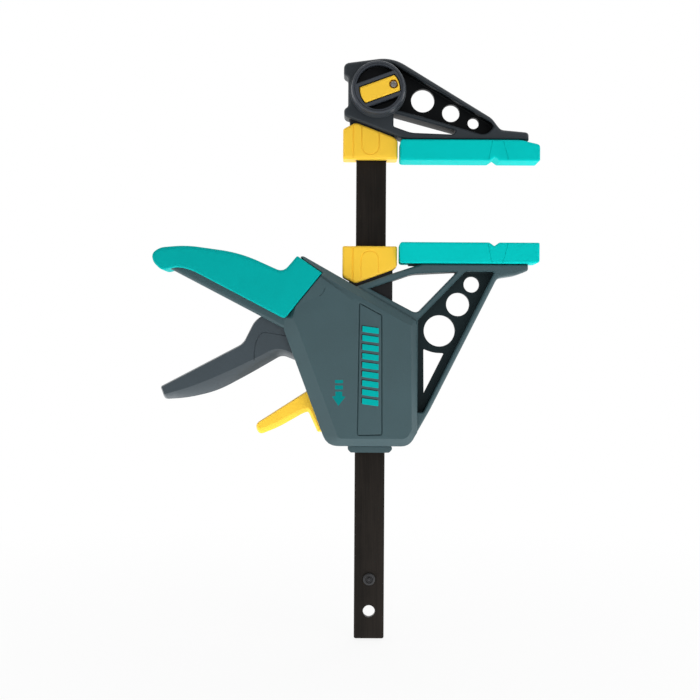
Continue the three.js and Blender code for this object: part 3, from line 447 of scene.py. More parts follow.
def moulding(name: str, front: Region, back: Region) -> Piece:
    """Makes a solid from two faces.

    Args:
        name: The piece's name.
        front: Its front face.
        back: Its back face, with the same outer rim.

    Returns:
        The piece.
    """
    maker = MeshMaker(name)
    maker.face(front)
    maker.face(back)
    return maker.done()


def mirrored(region: Region) -> Region:
    """Returns the same region on the other side of the middle plane."""
    profile = [(inset, -y) for inset, y in region.profile]
    return Region(region.outline, profile, [mirrored(c) for c in region.children], region.open, region.deep)


def both_sides(name: str, front: Region) -> Piece:
    """Makes a solid whose back mirrors its front."""
    return moulding(name, front, mirrored(front))


def slab(
    name: str, shape: Outline, flat: float, width: float, depth: float, edge: Edge = Edge.ROUND
) -> Piece:
    """Makes a solid with two plain flats, and an edge of a width and a depth round each."""
    return both_sides(name, Region(shape, outer_edge(0, flat, width, depth, edge)))


class Cut(Enum):
    """How one solid works on another."""

    AWAY = "DIFFERENCE"
    COMMON = "INTERSECT"
    JOINED = "UNION"


def carve(piece: Piece, tool: Piece, how: Cut = Cut.AWAY) -> None:
    """Cuts, trims or joins a piece by another solid.

    Args:
        piece: The solid that is kept.
        tool: The solid that works on it and is then removed.
        how: What is done.
    """
    modifier = piece.modifiers.new(how.name.lower(), "BOOLEAN")
    modifier.operation = how.value
    modifier.solver = "EXACT"
    modifier.object = tool
    graph = bpy.context.evaluated_depsgraph_get()
    result = bpy.data.meshes.new_from_object(piece.evaluated_get(graph))
    piece.modifiers.clear()
    old = piece.data
    piece.data = result
    bpy.data.meshes.remove(old)
    bpy.data.objects.remove(tool)


def cut_box(piece: Piece, low: Sequence[float], high: Sequence[float]) -> None:
    """Cuts a plain box out of a piece.

    Args:
        piece: The piece.
        low: The box's lowest corner.
        high: The box's highest corner.
    """
    maker = MeshMaker("box")
    maker.box(low, high)
    carve(piece, maker.done())


def cut_shaft(piece: Piece, across: float, deep: float, low: float, high: float) -> None:
    """Cuts the upright hole of a sleeve or of the bar, from half its width and half its depth."""
    cut_box(piece, (-across, -deep, low), (across, deep, high))


def engrave(piece: Piece, path: Iterable[Sequence[float]], radius: float, back: bool = True) -> None:
    """Cuts a thin round groove.

    Args:
        piece: The piece.
        path: The groove's points on the front.
        radius: Its radius.
        back: Whether it is cut on the back as well.
    """
    points = [Vector(point) for point in path]
    for side in (1, -1) if back else (1,):
        maker = MeshMaker("groove")
        line = [Vector((p.x, p.y * side, p.z)) for p in points]
        maker.tube(line, radius, Vector((0, 1, 0)), GROOVE_SIDES)
        carve(piece, maker.done())


def copy_of(node: str) -> Piece:
    """Copies the solid of a model node.

    Args:
        node: The node's name.

    Returns:
        The closed copy.
    """
    work = bmesh.new()
    work.from_mesh(frame["nodes"][node].data)
    bmesh.ops.remove_doubles(work, verts=work.verts, dist=WELD_DISTANCE)
    bmesh.ops.recalc_face_normals(work, faces=work.faces)
    data = bpy.data.meshes.new(f"{node}_solid")
    work.to_mesh(data)
    work.free()
    return linked(f"{node}_solid", data)


# Shader maths


class Signal:
    """A socket of a node tree that can be used in sums."""

    def __init__(self, wiring: Wiring, socket: bpy.types.NodeSocket) -> None:
        """Wraps a socket of a node tree."""
        self.wiring = wiring
        self.socket = socket

    def _math(self, operation: str, *values: Signal | float) -> Signal:
        """Adds a Math node."""
        return self.wiring.add("ShaderNodeMath", {"operation": operation}, dict(enumerate(values)))

    def __add__(self, other: Signal | float) -> Signal:
        """Adds."""
        return self._math("ADD", self, other)

    __radd__ = __add__

    def __sub__(self, other: Signal | float) -> Signal:
        """Takes away."""
        return self._math("SUBTRACT", self, other)

    def __rsub__(self, other: float) -> Signal:
        """Takes this away from a number."""
        return self._math("SUBTRACT", other, self)

    def __mul__(self, other: Signal | float) -> Signal:
        """Multiplies."""
        return self._math("MULTIPLY", self, other)

    __rmul__ = __mul__

    def most(self, other: Signal | float) -> Signal:
        """Returns the larger of the two."""
        return self._math("MAXIMUM", self, other)

    def size(self) -> Signal:
        """Returns the value without its sign."""
        return self._math("ABSOLUTE", self)

    def ramped(self, low: float, high: float) -> Signal:
        """Maps the range from low to high smoothly onto 0 to 1."""
        inputs = {"Value": self, "From Min": low, "From Max": high}
        return self.wiring.add("ShaderNodeMapRange", {"interpolation_type": "SMOOTHSTEP"}, inputs)

    def wave(self, swing: float) -> Signal:
        """Turns noise about its middle into a swing about zero."""
        return (self - 0.5) * swing


class Wiring:
    """A node tree under construction."""

    def __init__(self, tree: bpy.types.NodeTree) -> None:
        """Takes over a node tree and empties it."""
        self.tree = tree
        self.tree.nodes.clear()

    def make(self, kind: str, settings: dict, inputs: dict) -> bpy.types.Node:
        """Adds a node.

        Args:
            kind: The node's type.
            settings: The node's own settings.
            inputs: Numbers, tuples or signals for its sockets, by name or number.

        Returns:
            The new node.
        """
        node = self.tree.nodes.new(kind)
        for key, value in settings.items():
            setattr(node, key, value)
        for key, value in inputs.items():
            self.feed(node.inputs[key], value)
        return node

    def add(self, kind: str, settings: dict, inputs: dict, out: str | int = 0) -> Signal:
        """Adds a node and returns one of its outputs as a signal."""
        return Signal(self, self.make(kind, settings, inputs).outputs[out])

    def feed(self, socket: bpy.types.NodeSocket, value: Signal | float | Sequence[float]) -> None:
        """Links or sets a socket.

        Args:
            socket: The socket.
            value: The signal to link, or the value to set.
        """
        if isinstance(value, Signal):
            self.tree.links.new(value.socket, socket)
        elif isinstance(value, (int, float)):
            socket.default_value = value
        else:
            size = len(socket.default_value)
            socket.default_value = tuple(value) + (1.0,) * (size - len(value))

    def backdrop(self) -> Signal:
        """Tells what is seen from light that falls on the clamp.

        Returns:
            1 for what the camera, a reflection or a clear piece shows, 0 for light on the clamp.
        """
        seen = self.add("ShaderNodeLightPath", {}, {}, "Is Camera Ray")
        for other in ("Is Glossy Ray", "Is Transmission Ray"):
            seen = seen.most(self.add("ShaderNodeLightPath", {}, {}, other))
        return seen


class Paint(Wiring):
    """A material under construction."""

    def __init__(self, name: str) -> None:
        """Starts a material with a shader and its output.

        Args:
            name: The material's name.
        """
        self.material = bpy.data.materials.new(name)
        self.material.use_nodes = True
        super().__init__(self.material.node_tree)
        self.shader = self.make("ShaderNodeBsdfPrincipled", {}, {})
        self.surface = Signal(self, self.shader.outputs[0])
        self.output = self.make("ShaderNodeOutputMaterial", {}, {"Surface": self.surface})

    def set(self, **values: Signal | float | Sequence[float]) -> None:
        """Feeds the shader's sockets; an underscore in a name stands for a space."""
        for key, value in values.items():
            self.feed(self.shader.inputs[key.replace("_", " ")], value)

    def place(self) -> Signal:
        """Returns the surface's own coordinates."""
        return self.add("ShaderNodeTexCoord", {}, {}, "Object")

    def depth(self, half: float) -> Signal:
        """Returns how far the surface stands out from the middle plane, as a share of a half width."""
        y = self.add("ShaderNodeSeparateXYZ", {}, {"Vector": self.place()}, "Y")
        return (y * (1 / (half * MM))).size()

    def noise(self, spacing: float, scale: Sequence[float] = (1, 1, 1), detail: float = 2.0) -> Signal:
        """Adds noise.

        Args:
            spacing: How far apart its lumps are, in millimetres.
            scale: How much closer they lie along each axis.
            detail: How many finer layers it has.

        Returns:
            The noise, from 0 to 1.
        """
        place = self.add("ShaderNodeMapping", {}, {"Vector": self.place(), "Scale": tuple(scale)})
        inputs = {"Vector": place, "Scale": 1 / (spacing * MM), "Detail": detail}
        return self.add("ShaderNodeTexNoise", {}, inputs, "Fac")

    def blend(self, factor: Signal | float, first: Colour | Signal, second: Colour | Signal) -> Signal:
        """Mixes two colours."""
        return self.add("ShaderNodeMix", {"data_type": "RGBA"}, {0: factor, 6: first, 7: second}, 2)

    def bump(self, height: Signal, depth: float) -> Signal:
        """Returns a normal from a height, with a depth in millimetres."""
        return self.add("ShaderNodeBump", {}, {"Strength": 1.0, "Distance": depth * MM, "Height": height})


def tone(colour: Colour, share: float) -> Colour:
    """Returns a colour made lighter or darker by a share."""
    return tuple(min(part * share, 1.0) for part in colour)


@dataclass(frozen=True)
class Plastic:
    """A moulded plastic with a spark-eroded grain, in grains of a spacing in millimetres."""

    name: str
    colour: Colour
    slot: str
    roughness: float = 0.5
    grain: float = 0.55
    grain_depth: float = 0.035
    mottle: float = 0.06
    gloss: float = 0.35
    # Painted shade of deep faces: recess is the colour share at its darkest, half, shade_from and shade_to
    # set the depths over which it fades out, and the recess gloss share dims its reflections.
    recess: float = 0.35
    half: float = 11.0
    shade_from: float = 0.3
    shade_to: float = 0.97
    recess_shade_gloss: float = 0.3
    cloud_grains: float = 40.0
    cloud_share: float = 0.6
    cloud_range: tuple[float, float] = (0.25, 0.75)
    speck_grains: float = 0.6
    speck_range: tuple[float, float] = (0.64, 0.74)
    speck_tone: float = 1.6
    fine_swing: float = 0.16
    cloud_swing: float = 0.1

    def material(self, deep: bool = False) -> bpy.types.Material:
        """Builds the material.

        Args:
            deep: Whether it is for the recesses, with painted shade: darker towards the middle plane, and
                less glossy.

        Returns:
            The new material.
        """
        # The copy for deep faces, named with _recess, carries painted shade.
        paint = Paint(f"{self.name}_recess" if deep else self.name)
        fine = paint.noise(self.grain, detail=3)
        cloud = paint.noise(self.grain * self.cloud_grains, detail=2)
        speck = paint.noise(self.grain * self.speck_grains, detail=1).ramped(*self.speck_range)
        shade = (cloud * self.cloud_share + fine * (1 - self.cloud_share)).ramped(*self.cloud_range)
        base = paint.blend(shade, tone(self.colour, 1 - self.mottle), tone(self.colour, 1 + self.mottle))
        # Painted shade: deep faces darken towards the middle plane, where a recess lies in shadow.
        if deep:
            height = paint.depth(self.half).ramped(self.shade_from, self.shade_to)
            base = paint.blend(height, tone(self.colour, self.recess), base)
        paint.set(
            Base_Color=paint.blend(speck * (self.mottle * 2), base, tone(self.colour, self.speck_tone)),
            Roughness=self.roughness + fine.wave(self.fine_swing) + cloud.wave(self.cloud_swing),
            Normal=paint.bump(fine, self.grain_depth),
            # Painted shade also dims the gloss of deep faces.
            Specular_IOR_Level=self.gloss * (self.recess_shade_gloss if deep else 1.0),
        )
        return paint.material


@dataclass(frozen=True)
class Steel:
    """A bright or burnished steel with marks that run one way."""

    name: str
    dark: Colour
    light: Colour
    slot: str
    metallic: float = 1.0
    roughness: float = 0.35
    streak: Colour = (1.0, 1.0, 0.03)
    spacing: float = 0.5
    depth: float = 0.01
    gloss: float = 0.5
    wide_lines: float = 8.0
    wide_share: float = 0.35
    cloud_lines: float = 30.0
    cloud_share: float = 0.3
    shade_range: tuple[float, float] = (0.3, 0.72)
    line_swing: float = 0.2
    cloud_swing: float = 0.12

    def material(self) -> bpy.types.Material:
        """Builds the material.

        Returns:
            The new material.
        """
        paint = Paint(self.name)
        lines = paint.noise(self.spacing, self.streak, detail=3)
        wide = paint.noise(self.spacing * self.wide_lines, self.streak, detail=2)
        cloud = paint.noise(self.spacing * self.cloud_lines, detail=3)
        shade = lines * self.wide_share + wide * self.wide_share + cloud * self.cloud_share
        paint.set(
            Base_Color=paint.blend(shade.ramped(*self.shade_range), self.dark, self.light),
            Metallic=self.metallic,
            Roughness=self.roughness + lines.wave(self.line_swing) + cloud.wave(self.cloud_swing),
            Normal=paint.bump(lines, self.depth),
            Specular_IOR_Level=self.gloss,
        )
        return paint.material


class Finish(Enum):
    """The finishes of the clamp."""

    BAR = Steel("burnished_bar", (0.005, 0.004, 0.0032), (0.017, 0.0135, 0.011), "burnished_steel",
                metallic=0.25, roughness=0.5, spacing=0.7, depth=0.012, gloss=0.1)
    BRIGHT = Steel("zinc_plate", (0.42, 0.43, 0.44), (0.66, 0.67, 0.68), "bright_steel",
                   roughness=0.32, streak=(1.0, 0.2, 1.0), spacing=0.4)
    DARK_PIN = Steel("blackened_pin", (0.008, 0.008, 0.009), (0.022, 0.022, 0.024), "burnished_steel",
                     metallic=0.5, roughness=0.3, depth=0.006)
    SCREW = Steel("dull_screw", (0.12, 0.115, 0.11), (0.26, 0.25, 0.24), "bright_steel",
                  metallic=0.8, roughness=0.4, spacing=0.3, depth=0.005)
    # recess and shade_from set how dark each plastic's painted shade on deep faces gets, and from which
    # depth it starts.
    JAW = Plastic("anthracite_nylon", (0.021, 0.0265, 0.032), "jaw_plastic", roughness=0.46,
                  gloss=0.2, recess=0.12, shade_from=0.7)
    KNOB = Plastic("anthracite_knob", (0.034, 0.040, 0.050), "jaw_plastic", roughness=0.4, gloss=0.25,
                   recess=0.08, half=23.0, shade_from=0.6)
    CASE = Plastic("slate_nylon", (0.035, 0.071, 0.081), "case_plastic", roughness=0.52, grain=0.7,
                   grain_depth=0.05, mottle=0.09, recess=0.24)
    TRIGGER = Plastic("grey_nylon", (0.028, 0.042, 0.052), "trigger_plastic", roughness=0.4, gloss=0.4)
    BLACK = Plastic("black_nylon", (0.006, 0.006, 0.007), "black_plastic", gloss=0.15)
    YELLOW = Plastic("yellow_moulding", (0.97, 0.60, 0.046), "yellow_plastic", roughness=0.42,
                     grain_depth=0.006, mottle=0.025, gloss=0.2, recess=0.4)
    PAD = Plastic("teal_pad_rubber", (0.0010, 0.55, 0.525), "teal_pad", roughness=0.6, grain=0.35,
                  grain_depth=0.02, mottle=0.03, gloss=0.03, recess=0.7)
    GRIP = Plastic("teal_grip_rubber", (0.001, 0.39, 0.375), "teal_grip", roughness=0.62, grain=0.4,
                   grain_depth=0.02, mottle=0.04, gloss=0.03)
    MARK = Plastic("teal_mark", (0.001, 0.225, 0.225), "teal_grip", grain_depth=0.01, gloss=0.05)

    def on(self, piece: Piece) -> None:
        """Gives a piece this finish.

        Args:
            piece: The piece, whose recessed faces have the material index 1 and get painted shade.
        """
        finish = self.value
        materials = [bpy.data.materials.get(finish.name) or finish.material()]
        indices = [0] * len(piece.data.polygons)
        if isinstance(finish, Plastic):
            indices = [polygon.material_index for polygon in piece.data.polygons]
        # Recessed faces get a second material: the copy of the finish with painted shade.
        if any(indices):
            name = f"{finish.name}_recess"
            materials.append(bpy.data.materials.get(name) or finish.material(deep=True))
        piece.data.materials.clear()
        for material in materials:
            piece.data.materials.append(material)
        for polygon, index in zip(piece.data.polygons, indices):
            polygon.material_index = index


def keep(
    piece: Piece, finish: Finish, body: str, *nodes: str, sharp_degrees: float = SHARP_DEGREES
) -> Piece:
    """Smooths and dresses a piece, sets it on its body and hides the model's nodes that it replaces.

    Args:
        piece: The finished mesh, at its place.
        finish: Its finish.
        body: The body that it rides on.
        nodes: The model's nodes that it replaces.
        sharp_degrees: The angle from which an edge stays sharp.

    Returns:
        The piece.
    """
    piece.data.shade_smooth()
    piece.data.set_sharp_from_angle(angle=math.radians(sharp_degrees))
    weighted = piece.modifiers.new("flats", "WEIGHTED_NORMAL")
    weighted.mode = "FACE_AREA"
    weighted.weight = FLATS_WEIGHT
    weighted.keep_sharp = True
    finish.on(piece)
    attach(piece, body)
    if nodes:
        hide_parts(*nodes)
    log.info("%s on %s: %d faces", piece.name, body, len(piece.data.polygons))
    return piece


# Sizes that the pieces share


def span(node: str) -> tuple[Vector, Vector]:
    """Returns the lowest and highest corners of a model node, in millimetres."""
    low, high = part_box(node)
    return low / MM, high / MM


def middle(node: str) -> Vector:
    """Returns the middle of a model node, in millimetres."""
    return Vector([(low + high) / 2 for low, high in zip(*span(node))])


def half_width(node: str) -> float:
    """Returns half of a model node's width along x, in millimetres."""
    low, high = span(node)
    return (high.x - low.x) / 2


@dataclass(frozen=True)
class Layout:
    """Where the jaws stand and how shares of their sizes become millimetres.

    An x share runs from -1 at the sleeve's left face over 0 at its right face to 1 at a jaw's
    nose. On the slider it goes on to the case's corner and to -2 at the handle's tip. A z share
    runs from 0 at a pad's back to 1 at the far end of its jaw. A corner's cut-back is a share
    of the same height.
    """

    sleeve_half: float = span("slider_sleeve")[1].x
    sleeve_depth: float = span("slider_sleeve")[1].y
    bar_half: float = span("bar")[1].x
    bar_face: float = span("bar")[0].y
    jaw_reach: float = span("fixed_jaw")[1].x
    fixed_face: float = span("fixed_jaw_pad")[0].z
    slider_face: float = span("slider_pad")[1].z
    pad_seat: float = 14.2
    pad_setback: float = 4.5
    rail_inset: float = 6.0
    fixed_rise: float = 53.1
    slider_drop: float = 121.2
    case_reach: float = 57.9
    handle_reach: float = 144.6
    case_corner_share: float = -4 / 3
    seat_gap: float = 0.3

    def fixed_x(self, share: float) -> float:
        """Turns an x share of a jaw into millimetres."""
        reach = self.jaw_reach - self.sleeve_half if share > 0 else 2 * self.sleeve_half
        return self.sleeve_half + share * reach

    def slider_x(self, share: float) -> float:
        """Turns an x share of the slider into millimetres.

        Args:
            share: The share, down to -2 at the handle's tip.

        Returns:
            The place along x.
        """
        if share >= -1:
            return self.fixed_x(share)
        if share >= self.case_corner_share:
            part = (share + 1) / (self.case_corner_share + 1)
            return -self.sleeve_half - part * (self.case_reach - self.sleeve_half)
        part = (share - self.case_corner_share) / (-2 - self.case_corner_share)
        return -self.case_reach - part * (self.handle_reach - self.case_reach)

    def fixed_z(self, share: float) -> float:
        """Turns a z share of the fixed jaw into millimetres."""
        return self.fixed_face + self.pad_seat + share * self.fixed_rise

    def slider_z(self, share: float) -> float:
        """Turns a z share of the slider into millimetres."""
        return self.slider_face - self.pad_seat - share * self.slider_drop

    def fixed(self, shares: Iterable[Sequence[float]], softness: Sequence[float] = ()) -> Outline:
        """Makes an outline on the fixed jaw from rows of shares."""
        rows = ((self.fixed_x(x), self.fixed_z(z), self.fixed_rise * sum(cut)) for x, z, *cut in shares)
        return Outline.of(rows, softness)

    def slider(self, shares: Iterable[Sequence[float]], softness: Sequence[float] = ()) -> Outline:
        """Makes an outline on the slider from rows of shares."""
        rows = ((self.slider_x(x), self.slider_z(z), self.slider_drop * sum(cut)) for x, z, *cut in shares)
        return Outline.of(rows, softness)

    def sleeve_socket(self) -> tuple[float, float]:
        """Returns half the width and depth of the hole round a sleeve."""
        return self.sleeve_half + self.seat_gap, self.sleeve_depth + self.seat_gap

    def bar_tunnel(self, gap: float) -> tuple[float, float]:
        """Returns half the width and depth of the hole round the bar, with a gap."""
        return self.bar_half + gap, -self.bar_face + gap


LAYOUT = Layout()


def rectangle(left: float, right: float, bottom: float, top: float, corner: float = 0.0) -> Outline:
    """Makes a rectangle with rounded corners."""
    places = ((left, bottom), (left, top), (right, top), (right, bottom))
    return Outline.of((x, z, corner) for x, z in places)


def arc(x: float, z: float, radius: float, start: float, end: float, steps: int = 12) -> Pairs:
    """Returns places along an arc between two angles in degrees, measured from x towards z."""
    angles = [math.radians(start + (end - start) * i / steps) for i in range(steps + 1)]
    return [(x + radius * math.cos(a), z + radius * math.sin(a)) for a in angles]


# The bar


@dataclass
class BarAssembly:
    """The flat bar and the pin that stops the slider at its foot."""

    edge: float = 0.9
    corner: float = 1.5
    hanging_hole: float = 4.0
    hanging_height: float = 18.2
    hanging_edge: float = 0.5
    lock_hole: float = 3.6
    lock_edge: float = 0.3
    pin_height: float = 39.7
    pin_radius: float = 2.9
    pin_gap: float = 0.1
    pin_edge: float = 0.2
    pin_face: float = 3.3
    pin_head: float = 4.2
    pin_end: float = 5.3
    pin_turning: tuple[tuple[float, float], ...] = (
        (0, 0), (0.6, 0.06), (1.1, 0.3), (1.4, 0.8), (1.6, 1.2), (2.1, 1.2), (2.4, 0.7), (2.8, 0.45),
        (3.5, 0.5), (3.95, 0.8), (4.2, 1.3),
    )
    body: str = "bar_and_fixed_jaw"

    def bar(self) -> Piece:
        """Builds the bar with its holes.

        Returns:
            The bar.
        """
        low, high = span("bar")
        face = low.y
        lock = middle("lock_shaft")
        holes = [
            through(Outline.circle(0, self.hanging_height, self.hanging_hole), face, self.hanging_edge),
            through(Outline.circle(0, self.pin_height, self.pin_radius + self.pin_gap), face, self.pin_edge),
            through(Outline.circle(lock.x, lock.z, self.lock_hole), face, self.lock_edge),
        ]
        shape = rectangle(low.x, high.x, low.z, high.z, self.corner)
        return both_sides("flat_bar", Region(shape, outer_edge(0, face, self.edge, self.edge), holes))

    def pin(self) -> Piece:
        """Builds the stop pin, with a turned ring round the dome of each head.

        Returns:
            The pin.
        """
        half = [(radius, self.pin_end - drop) for radius, drop in self.pin_turning]
        half += [(self.pin_head, self.pin_face), (self.pin_radius, self.pin_face)]
        maker = MeshMaker("stop_pin_turned")
        maker.turned([(radius, -y) for radius, y in half] + half[::-1], SMALL_SIDES)
        return maker.done(Matrix.Translation((0, 0, self.pin_height * MM)))

    def build(self) -> None:
        """Builds and dresses the bar and its pin."""
        keep(self.bar(), Finish.BAR, self.body, "bar")
        keep(self.pin(), Finish.DARK_PIN, self.body, "stop_pin")


# Pieces that both jaws have


@dataclass
class Guard:
    """A yellow guard clipped round a sleeve. Its sign is 1 under the fixed jaw, -1 on the slider."""

    name: str
    node: str
    body: str
    sign: int
    slope: Outline
    clearance: float
    softness: tuple[float, ...]
    wall: float = 1.4
    corner: float = 1.4
    edge: float = 1.7
    shoulder_width: float = 8.4
    shoulder_drop: float = 4.4
    shoulder_corner: float = 2.2
    groove_radius: float = 0.42
    crease_radius: float = 0.63
    crease_inset: float = 6.8
    crease_start: float = 1.2
    tongue_x: float = -0.75
    tongue_half: float = 5.8
    tongue_start: float = 9.0
    groove_reach: float = 60.0
    lip: float = 0.25
    tunnel_reach: float = 9.0

    def height(self, x: float) -> float:
        """Returns the height of the guard's slanted edge, a clearance off the jaw, at x."""
        (x0, z0, _), (x1, z1, _) = self.slope.rows
        return z0 + (z1 - z0) * (x - x0) / (x1 - x0) - self.sign * self.clearance

    def shell(self, left: float, right: float, outer: float, front: float) -> Piece:
        """Builds the guard without its holes.

        Args:
            left: Its left side.
            right: Its right side.
            outer: The height of its outer face.
            front: Where its front lies, along y.

        Returns:
            The guard.
        """
        shoulder = left + self.shoulder_width
        top, bend, end = (self.height(x) for x in (shoulder, LAYOUT.sleeve_half, right))
        rows = [
            (left, outer, self.corner),
            (left, top - self.sign * self.shoulder_drop, self.corner),
            (shoulder, top, self.shoulder_corner),
            (LAYOUT.sleeve_half, bend, self.corner),
            (right, end - self.sign * self.corner, self.corner),
            (right, outer, self.corner),
        ]
        return slab(self.name, Outline.of(rows, self.softness), front, self.edge, self.edge)

    def build(self) -> None:
        """Builds the guard with its grooves and dresses it."""
        across, deep = LAYOUT.sleeve_socket()
        low, high = span(self.node)
        outer = low.z if self.sign > 0 else high.z
        front = -deep - self.wall
        piece = self.shell(low.x, high.x, outer, front)
        reach = outer + self.sign * self.groove_reach
        x = low.x + self.crease_inset
        crease = [(x, outer + self.sign * self.crease_start), (x, reach)]
        start = outer + self.sign * self.tongue_start
        bend = arc(self.tongue_x, start, self.tongue_half, 180, 360 if self.sign > 0 else 0)
        left, right = ((self.tongue_x + side * self.tongue_half, reach) for side in (-1, 1))
        tongue = [left, *bend, right]
        for places, radius in ((crease, self.crease_radius), (tongue, self.groove_radius)):
            engrave(piece, [(x, front, z) for x, z in places], radius)
        floor = outer + self.sign * self.lip
        cut_shaft(piece, across, deep, *sorted((floor, floor + self.sign * self.groove_reach)))
        tunnel = LAYOUT.bar_tunnel(LAYOUT.seat_gap)
        cut_shaft(piece, *tunnel, low.z - self.tunnel_reach, high.z + self.tunnel_reach)
        keep(piece, Finish.YELLOW, self.body, self.node)


@dataclass
class Pad:
    """A soft pad on its jaw's rail. Its sign is 1 on the fixed jaw, -1 turned over on the slider."""

    name: str
    node: str
    body: str
    face: float
    sign: int
    overhang: float = 7.3
    thickness: float = 13.9
    half_width: float = 13.5
    corner: float = 2.2
    tip_drop: float = 3.0
    notch_width: float = 6.6
    notch_depth: float = 2.4
    notch_share: float = 0.676
    notch_corner: float = 0.8
    notch_root: float = 0.5
    edge: float = 1.2
    softness: tuple[float, ...] = (2.4,) + (1.0,) * 7
    groove_radius: float = 0.4
    groove_shares: tuple[tuple[float, float], ...] = ((0.658, 0.63), (0.735, 0.772))
    groove_from: float = 0.6
    groove_to: float = 0.8
    neck_room: tuple[float, float, float] = (4.3, 9.6, 16.9)
    head_room: tuple[float, float, float] = (7.3, 9.3, 12.3)
    room_reach: float = 5.0

    def level(self, height: float) -> float:
        """Turns a height over the working face into millimetres along z."""
        return self.face + self.sign * height

    def build(self) -> None:
        """Builds the pad with its notch, channel and engraved lines, and dresses it."""
        start = LAYOUT.sleeve_half + LAYOUT.pad_setback
        end = LAYOUT.jaw_reach + self.overhang
        rail_end = LAYOUT.jaw_reach - LAYOUT.rail_inset + LAYOUT.seat_gap
        notch = start + (end - start) * self.notch_share
        thick, corner = self.thickness, self.corner
        rows = [
            (start, 0, corner), (start, thick, corner), (rail_end, thick, corner),
            (end, thick - self.tip_drop, corner), (end, 0, corner / 2),
            (notch + self.notch_width / 2, 0, self.notch_corner), (notch, self.notch_depth, self.notch_root),
            (notch - self.notch_width / 2, 0, self.notch_corner),
        ]
        shape = Outline.of(((x, self.level(z), c) for x, z, c in rows), self.softness)
        front = -self.half_width
        piece = slab(self.name, shape, front, self.edge, self.edge)
        for back_share, face_share in self.groove_shares:
            places = (
                (start + (end - start) * back_share, front, self.level(thick - self.groove_from)),
                (start + (end - start) * face_share, front, self.level(self.groove_to)),
            )
            engrave(piece, places, self.groove_radius)
        for half, *heights in (self.neck_room, self.head_room):
            low, high = sorted(self.level(height) for height in heights)
            cut_box(piece, (start - self.room_reach, -half, low), (rail_end, half, high))
        keep(piece, Finish.PAD, self.body, self.node)


@dataclass
class Rail:
    """The T-shaped rail that carries a pad. Its sign is 1 on the fixed jaw, -1 on the slider."""

    name: str
    body: str
    face: float
    sign: int
    neck: float = 4.0
    head: float = 7.0
    root_sink: float = 1.0
    step_height: float = 2.2
    head_height: float = 4.6
    step_corner: float = 0.3
    head_corner: float = 0.5
    edge: float = 0.3

    def build(self) -> None:
        """Builds the rail and dresses it."""
        start = LAYOUT.sleeve_half + LAYOUT.pad_setback + LAYOUT.rail_inset
        end = LAYOUT.jaw_reach - LAYOUT.rail_inset
        base, step, top = (
            self.face + self.sign * (LAYOUT.pad_seat + height)
            for height in (self.root_sink, -self.step_height, -self.head_height)
        )
        side = [
            (self.neck, base, 0.0), (self.neck, step, 0.0),
            (self.head, step, self.step_corner), (self.head, top, self.head_corner),
        ]
        shape = Outline.of([(-x, z, corner) for x, z, corner in side] + side[::-1])
        half = (end - start) / 2
        maker = MeshMaker(self.name)
        for y in (-half, half):
            maker.face(Region(shape, outer_edge(0, y, self.edge, self.edge)))
        place = Matrix.Translation(((start + end) / 2 * MM, 0, 0)) @ Matrix.Rotation(math.pi / 2, 4, "Z")
        keep(maker.done(place), Finish.JAW if self.sign > 0 else Finish.CASE, self.body)


# The fixed jaw


FIXED_JAW_SHARES = (
    (-1.141, 0.949, 0.085), (-0.035, 1.031, 0.19), (0.727, 0.272, 0.047), (0.791, 0.128, 0.047),
    (1, 0.096, 0.056), (1, 0), (0.08, 0), (-1.131, 0.288, 0.056), (-1.131, 0.373, 0.028),
    (-1.041, 0.411, 0.019), (-1.041, 0.772, 0.019), (-1.141, 0.806, 0.028),
)
FIXED_JAW_SOFTNESS = (1.0, 1.1, 1.0, 0.9, 1.0, 0.5, 0.9, 1.0, 0.7, 1.3, 0.7, 1.0)
FIXED_POCKET_SHARES = (
    (-0.017, 0.94), (0.757, 0.181, 0.1), (0.679, 0.053, 0.085), (0.342, 0.222, 0.1), (-0.086, 0.392),
)
FIXED_SLOT_SHARES = (
    (0, 0.326, 0.02), (0.462, 0.115, 0.045), (0.445, 0.064, 0.03), (0.129, 0.083, 0.06), (0, 0.16, 0.02),
)
FIXED_HOLE_SHARES = ((0.219, 0.508, 0.147), (0.429, 0.352, 0.11), (0.596, 0.226, 0.071))
FIXED_GUARD_LINE = ((-1.131, 0.288), (0.08, 0))


